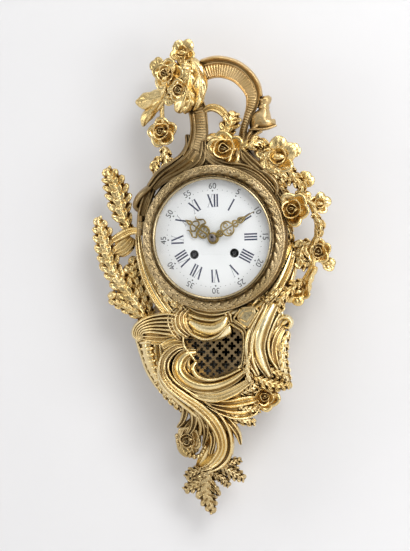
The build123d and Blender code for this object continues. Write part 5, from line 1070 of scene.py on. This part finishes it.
# Two rows of leaves: radii, where each begins and ends in steps of the ring, depth, width and points.
LEAF_STEPS = 46
leaf_rows = (((65.4, 70.6), 0, 1.25, 95.5, 4.0, 8), ((71.2, 67.0), 0.5, 1.45, 95.0, 3.4, 7))
door_leaves = []
for k in range(LEAF_STEPS):
    for radii, first, last, depth, width, points in leaf_rows:
        angles = (360 / LEAF_STEPS * (k + first), 360 / LEAF_STEPS * (k + last))
        rows = chased_leaf(radii, angles, depth, width)
        door_leaves.append(strip("chased", rows, vein_lobe, points, 7, place=on_door))
bezel_parts = [bezel_body, cast(door_leaves)]

# The door's knuckle turns on the hinge pin, and a small web joins it to the ring.
HINGE = (-76.4, 84.9)
knuckle = turned("knuckle", [(1.2, 73.0), (1.2, 81.0), (2.2, 81.0), (2.6, 80.6), (2.6, 73.4), (2.2, 73.0)], 40)
knuckle.data.transform(
    Matrix.Translation((HINGE[0] * MM, -HINGE[1] * MM, 0)) @ Matrix.Rotation(math.radians(90), 4, "X")
    @ Matrix.Translation((0, 0, -DIAL_Z * MM)))
clear_selection()
bpy.ops.mesh.primitive_cube_add(size=1, location=(-72.3 * MM, -HINGE[1] * MM, -77 * MM))
web = bpy.context.object
web.scale = (4.2 * MM, 2.6 * MM, 7.6 * MM)
settle(web)
apply_modifier(web, "soft_edges", "BEVEL", width=0.4 * MM, segments=2)
join("bezel_ring_chased", bezel_parts + [knuckle, web], bezel_gilt, "bezel_door", replaces=("bezel_ring",))

sight_profile = [(58.7, 92.6), (58.7, 94.0), (59.1, 94.9), (59.9, 95.4), (60.7, 95.1), (61.2, 94.2), (61.2, 92.4)]
join("bezel_sight_turned", [turned("sight", sight_profile)], sight_gilt, "bezel_door", replaces=("bezel_sight_ring",))

# ---- Dial

# The ball whose cap, 2.8 mm high and 61.4 mm in radius, is the enamel's domed face.
DOME_BALL = (61.4 ** 2 + 2.8 ** 2) / (2 * 2.8)
# How far the ink stands above the enamel, and how thick it is.
INK_LIFT, INK_THICKNESS = 0.10, 0.16


def dome(radius):
    """The depth of the enamel's face at a radius."""
    return DIAL_DEPTH - (DOME_BALL - math.sqrt(DOME_BALL ** 2 - radius ** 2))


def lay_on_dial(obj, angle, radius):
    """Lay a flat shape, drawn about its own middle in millimetres, on the domed dial."""
    a = math.radians(angle - BEAT)
    front = max(v.co.z for v in obj.data.vertices)
    for vertex in obj.data.vertices:
        x = vertex.co.x * math.cos(a) + vertex.co.y * math.sin(a) + radius * math.sin(a)
        y = -vertex.co.x * math.sin(a) + vertex.co.y * math.cos(a) + radius * math.cos(a)
        rise = INK_LIFT if vertex.co.z >= front - 1e-9 else INK_LIFT - INK_THICKNESS
        vertex.co = (x * MM, -(dome(math.hypot(x, y)) + rise) * MM, (DIAL_Z + y) * MM)
    obj.data.update()


def stroke(points, width):
    """A flat stroke in millimetres between two points."""
    clear_selection()
    bpy.ops.mesh.primitive_cube_add(size=1)
    obj = bpy.context.object
    (x0, y0), (x1, y1) = points
    length = math.hypot(x1 - x0, y1 - y0)
    angle = math.atan2(y1 - y0, x1 - x0)
    for vertex in obj.data.vertices:
        u, v = vertex.co.x * length, vertex.co.y * width
        vertex.co.x = (x0 + x1) / 2 + u * math.cos(angle) - v * math.sin(angle)
        vertex.co.y = (y0 + y1) / 2 + u * math.sin(angle) + v * math.cos(angle)
    return obj


def text_shape(words, size):
    clear_selection()
    bpy.ops.object.text_add()
    obj = bpy.context.object
    obj.data.body = words
    obj.data.size = size
    obj.data.align_x = "CENTER"
    obj.data.align_y = "CENTER"
    obj.data.extrude = 0.05
    obj.data.resolution_u = 4
    pick(obj)
    bpy.ops.object.convert(target="MESH")
    return bpy.context.object


NUMERAL_HEIGHT = 12.6
NUMERAL_RADIUS = 37.6
romans = ["XII", "I", "II", "III", "IIII", "V", "VI", "VII", "VIII", "IX", "X", "XI"]
wide_stroke, thin_stroke, stroke_gap = 1.5, 0.3, 2.75


def roman(words):
    """Tall strokes as a dial painter draws them: thick downstrokes, thin upstrokes and fine serifs."""
    half = NUMERAL_HEIGHT / 2
    strokes, x = [], 0.0
    for letter in words:
        if letter == "I":
            strokes += [((x, -half), (x, half), wide_stroke)]
            x += stroke_gap
        elif letter == "V":
            strokes += [((x - 0.4, half), (x + 1.9, -half), wide_stroke),
                        ((x + 4.2, half), (x + 1.9, -half), thin_stroke)]
            x += 4.2 + stroke_gap * 0.7
        else:
            strokes += [((x - 0.2, half), (x + 4.4, -half), wide_stroke),
                        ((x + 4.4, half), (x - 0.2, -half), thin_stroke)]
            x += 4.4 + stroke_gap * 0.8
    width = x - stroke_gap
    shapes = []
    for (x0, y0), (x1, y1), thick in strokes:
        shapes.append(stroke(((x0 - width / 2, y0), (x1 - width / 2, y1)), thick))
        for x2, y2 in ((x0, y0), (x1, y1)):
            shapes.append(stroke(((x2 - width / 2 - 1.1, y2), (x2 - width / 2 + 1.1, y2)), 0.2))
    return shapes


numeral_parts = []
for hour, words in enumerate(romans):
    for shape in roman(words):
        lay_on_dial(shape, 30 * hour, NUMERAL_RADIUS)
        numeral_parts.append(shape)
join("hour_numerals", numeral_parts, numeral_ink)

MINUTE_RADIUS = 52.0
minute_parts = []
for minute in range(60):
    if minute % 5:
        shape = stroke(((-0.3, 0), (0.3, 0)), 0.6)
        lay_on_dial(shape, 6 * minute, MINUTE_RADIUS - 3.4)
        minute_parts.append(shape)
for step in range(1, 13):
    shape = text_shape(str(5 * step), 8.2)
    lay_on_dial(shape, 30 * step, MINUTE_RADIUS)
    minute_parts.append(shape)
    diamond = stroke(((-0.6, 0), (0.6, 0)), 1.2)
    for vertex in diamond.data.vertices:
        x, y = vertex.co.x, vertex.co.y
        vertex.co.x, vertex.co.y = (x - y) * 0.8, (x + y) * 0.8
    lay_on_dial(diamond, 30 * step, MINUTE_RADIUS - 4.6)
    minute_parts.append(diamond)
join("minute_numerals", minute_parts, minute_ink)


def ring_at(name, profile, u, v, segments=40):
    """A small turned ring at a place of the movement, across and above the dial's middle."""
    obj = turned(name, profile, segments)
    c, s = math.cos(math.radians(BEAT)), math.sin(math.radians(BEAT))
    obj.data.transform(Matrix.Translation(((u * c - v * s) * MM, 0, (u * s + v * c) * MM)))
    return obj


# Painted shade: the brass collets of the winding holes and a disc at their floor are painted near black, standing in
# for the shade deep in the holes.
collet_profile = [(4.45, 80.3), (4.45, 85.4), (4.05, 85.2), (4.0, 80.3)]
hole_shade_disc_profile = [(2.3, 79.2), (2.3, 79.8), (4.4, 79.8), (4.4, 79.2)]
ARBOR_ACROSS, ARBOR_UP = 20.5, -15.5
linings = [ring_at(f"{name}_{side}", profile, side * ARBOR_ACROSS, ARBOR_UP)
           for name, profile in (("collet", collet_profile), ("floor", hole_shade_disc_profile)) for side in (-1, 1)]
join("winding_hole_linings", linings, hole_shade_black)

# ---- Hands


# A wire of a hand: how much fuller it is than drawn, how flat, and its points along and around.
WIRE_FULLNESS, WIRE_FLATNESS = 1.25, 0.6
WIRE_STEPS, WIRE_SIDES = 24, 6


def wire(name, points, radii, turn, depth):
    """A flattened wire of a hand, drawn in millimetres along a hand that points to twelve."""
    rows, _ = even_steps([(x, y, 0, 0, 0) for x, y in points], WIRE_STEPS)
    radii = [WIRE_FULLNESS * r for r in radii]
    way = np.gradient(rows[:, :2], axis=0)
    way /= np.linalg.norm(way, axis=1)[:, None]
    obj, across, along = woven(name, WIRE_SIDES, WIRE_STEPS - 1)
    places = np.empty((len(across), 3))
    a = math.radians(turn - BEAT)
    for k, (i, j) in enumerate(zip(across, along)):
        angle = 2 * math.pi * (i % WIRE_SIDES) / WIRE_SIDES
        size = np.interp(j / (WIRE_STEPS - 1), np.linspace(0, 1, len(radii)), radii)
        x = rows[j, 0] - way[j, 1] * size * math.cos(angle)
        y = rows[j, 1] + way[j, 0] * size * math.cos(angle)
        d = depth + size * WIRE_FLATNESS * math.sin(angle)
        up = DIAL_Z - x * math.sin(a) + y * math.cos(a)
        places[k] = ((x * math.cos(a) + y * math.sin(a)) * MM, -d * MM, up * MM)
    shape_to(obj, places)
    return tidy(obj, 0)


def curl(cx, cy, radius, start, sweep):
    """Seven points of a curl that tightens by a third as it turns."""
    points = []
    for k in range(7):
        t = k / 6
        angle = math.radians(start + sweep * t)
        tight = radius * (1 - 0.35 * t)
        points.append((cx + tight * math.cos(angle), cy + tight * math.sin(angle)))
    return points


def build_hand(name, node, body, turn, depth, drawing, hub, hole):
    """A hand of its wires, each with its mirrored twin unless it lies in the middle, and its hub."""
    parts = []
    for k, (points, radii) in enumerate(drawing):
        parts.append(wire(f"{name}_{k}", points, radii, turn, depth))
        if any(abs(x) > 0.2 for x, y in points):
            parts.append(wire(f"{name}_{k}_m", [(-x, y) for x, y in points], radii, turn, depth))
    hub_profile = [(hole, depth - 0.6), (hole, depth + 0.7), (hub - 0.6, depth + 0.7), (hub, depth + 0.2),
                   (hub, depth - 0.6)]
    parts.append(turned(f"{name}_hub", hub_profile, 40))
    join(name, parts, hand_gilt, body, replaces=(node,))


hour_drawing = [
    ([(0, 4), (0, 12), (0, 20), (0, 27)], [0.9, 0.7, 0.7, 0.6]),
    ([(0.4, 6), (4.2, 7.5), (6.0, 11.5), (4.2, 15.5), (0.5, 16.5)], [0.8, 0.75, 0.75, 0.75, 0.7]),
    (curl(3.2, 11.5, 2.4, 240, 300), [0.55, 0.5]),
    ([(0.5, 16.5), (4.5, 17), (8.5, 15.0), (10.4, 18.5)], [0.8, 0.75, 0.7, 0.5]),
    ([(10.4, 18.5), (8.0, 21.5), (6.8, 25.0), (8.5, 27.0)], [0.5, 0.85, 0.6, 0.2]),
    ([(0.6, 20), (4.0, 19.5), (5.6, 22.5), (3.4, 25.5), (0.6, 26.5)], [0.7, 0.7, 0.7, 0.6, 0.6]),
    ([(0.4, 26), (1.5, 28.0), (0.9, 30.5), (0.1, 33.8)], [0.7, 0.9, 0.6, 0.15]),
]
build_hand("hour_hand_pierced", "hour_hand", "hour", 305.0, 88.55, hour_drawing, 6.0, 2.75)

minute_drawing = [
    ([(0, 4), (0, 12), (0, 24), (0, 37)], [1.0, 0.6, 0.6, 0.7]),
    ([(0.5, 5), (2.2, 7.5), (2.4, 10), (1.0, 12.5)], [0.9, 1.0, 0.9, 0.7]),
    ([(0.6, 12), (4.8, 13.0), (7.2, 17.0), (5.8, 21.5), (1.6, 24.0)], [0.75, 0.75, 0.7, 0.7, 0.6]),
    (curl(3.6, 18.0, 2.5, 200, 320), [0.55, 0.5]),
    ([(0.6, 24.0), (3.0, 26.5), (2.2, 29.0), (0.7, 30.0)], [0.6, 0.9, 0.7, 0.6]),
    ([(0.5, 30), (2.3, 32.5), (1.5, 36.0), (0.5, 38.5)], [0.6, 0.9, 0.8, 0.6]),
    ([(0, 37), (0, 44), (0, 50.2)], [0.8, 0.5, 0.15]),
]
build_hand("minute_hand_pierced", "minute_hand", "minute", 60.0, 90.75, minute_drawing, 4.2, 1.8)

nut_profile = [(1.3, 91.3), (1.3, 93.4), (2.6, 93.5), (3.6, 92.8), (3.9, 92.0), (3.9, 91.3)]
join("hand_nut_turned", [turned("nut", nut_profile, 40)], collet_steel, "minute", ("hand_nut",))

# ---- Finishes of the pieces that keep their own shape

finishes = {
    "pendulum": pendulum_brass_in_shade, "case_body": shaded_gilt, "sound_grille": grille_gilt,
    "dial_enamel": white_enamel, "bezel_glass": door_glass, "bell": bell_bronze,
    "going_winding_arbor": square_steel, "strike_winding_arbor": square_steel,
}
steel_nodes = ("hanging_plate", "hinge_pins", "case_screws", "anchor_and_crutch", "hammer")
for node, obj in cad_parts.items():
    if obj.type == "MESH":
        dress(obj, finishes.get(node, case_steel if node in steel_nodes else shaded_inner_brass))

for master in masters.values():
    bpy.data.objects.remove(master)

# ---- Stage, light and camera


def stage_material(name, colour, see_through=False):
    """Matt paint, which can be clear from behind."""
    material, tree, shader = new_material(name)
    wash = noise(tree, own_place(tree), 3.0, 2.0)
    tone = ramp(tree, wash, [(0.3, tuple(0.985 * c for c in colour)), (0.7, colour)])
    plug(tree, shader, [("Base Color", tone), ("Roughness", 0.9), ("Specular IOR Level", 0.1)])
    if see_through:
        back = wired(tree, "ShaderNodeNewGeometry")
        let_through(tree, shader, back.outputs["Backfacing"], (1, 1, 1, 1))
    return material


clear_selection()
bpy.ops.mesh.primitive_plane_add(size=5, location=(0, 0.0006, 0), rotation=(math.radians(90), 0, 0))
wall = bpy.context.object
wall.name = "wall"
settle(wall)
dress(wall, stage_material("wall_paint", (0.80, 0.80, 0.81), True))
clear_selection()
bpy.ops.mesh.primitive_plane_add(size=8, location=(0, 0, -0.75))
floor = bpy.context.object
floor.name = "floor"
settle(floor)
dress(floor, stage_material("floor_paint", (0.84, 0.83, 0.83)))


# Soft lamps: where each stands, what it points at, how wide it is in metres and its power in watts.
middle = (0.0, -0.05, -0.12)
lamps = (
    ("key_softbox", (0.9, -1.5, 0.9), middle, 1.0, 18),
    ("fill_softbox", (-1.9, -0.8, 0.1), middle, 0.8, 7),
    ("top_softbox", (-0.2, -0.6, 1.4), middle, 0.8, 5),
    ("low_softbox", (0.9, -1.1, -0.9), (0.0, -0.05, -0.25), 0.6, 2.5),
    ("strip_right", (1.2, -0.9, -0.2), middle, 0.5, 4.5),
)
for name, place, target, size, power in lamps:
    data = bpy.data.lights.new(name, "AREA")
    data.shape = "DISK"
    data.size = size
    data.energy = power
    lamp = bpy.data.objects.new(name, data)
    bpy.context.scene.collection.objects.link(lamp)
    lamp.location = place
    lamp.rotation_euler = (Vector(target) - Vector(place)).to_track_quat("-Z", "Y").to_euler()

# A dim room with pale, cloudy panels overhead, which the gilding mirrors.
world = bpy.data.worlds.new("studio")
bpy.context.scene.world = world
world.use_nodes = True
tree = world.node_tree
sky = wired(tree, "ShaderNodeTexCoord").outputs["Generated"]
split = wired(tree, "ShaderNodeSeparateXYZ", [("Vector", sky)])
panels = reckoned(tree, "MULTIPLY_ADD", split.outputs["Z"], 0.35, noise(tree, sky, 2.2, 1.0))
room = ramp(tree, panels, [(0.22, (0.02, 0.02, 0.02)), (0.40, (0.10, 0.10, 0.09)), (0.50, (0.80, 0.79, 0.77)),
                           (0.8, (1.0, 0.99, 0.98))])
plug(tree, tree.nodes["Background"], [("Color", room), ("Strength", 0.55)])

# The camera stands where the view is drawn from, so that a pixel of the view is a pixel of its picture.
SENSOR_WIDTH = 36.0
camera_data = bpy.data.cameras.new("camera")
camera = bpy.data.objects.new("camera", camera_data)
bpy.context.scene.collection.objects.link(camera)
bpy.context.scene.camera = camera
camera_data.sensor_width = SENSOR_WIDTH
camera_data.lens = SENSOR_WIDTH / 2 * VIEW_DISTANCE / VIEW_CENTRE[1]
dial_u = DIAL_CENTRE[0] - VIEW_CENTRE[0]
turn_c, turn_s = math.cos(VIEW_TURN), math.sin(VIEW_TURN)
axis_x = -dial_u * VIEW_DISTANCE / (VIEW_DISTANCE * turn_c + dial_u * turn_s)
camera.location = (
    (axis_x + VIEW_DISTANCE * turn_s) * MM, (-DIAL_DEPTH - VIEW_DISTANCE * turn_c) * MM,
    (DIAL_Z - (VIEW_CENTRE[1] - DIAL_CENTRE[1])) * MM,
)
camera.rotation_euler = (math.radians(90), 0, VIEW_TURN)

bpy.context.scene.view_settings.view_transform = "Standard"
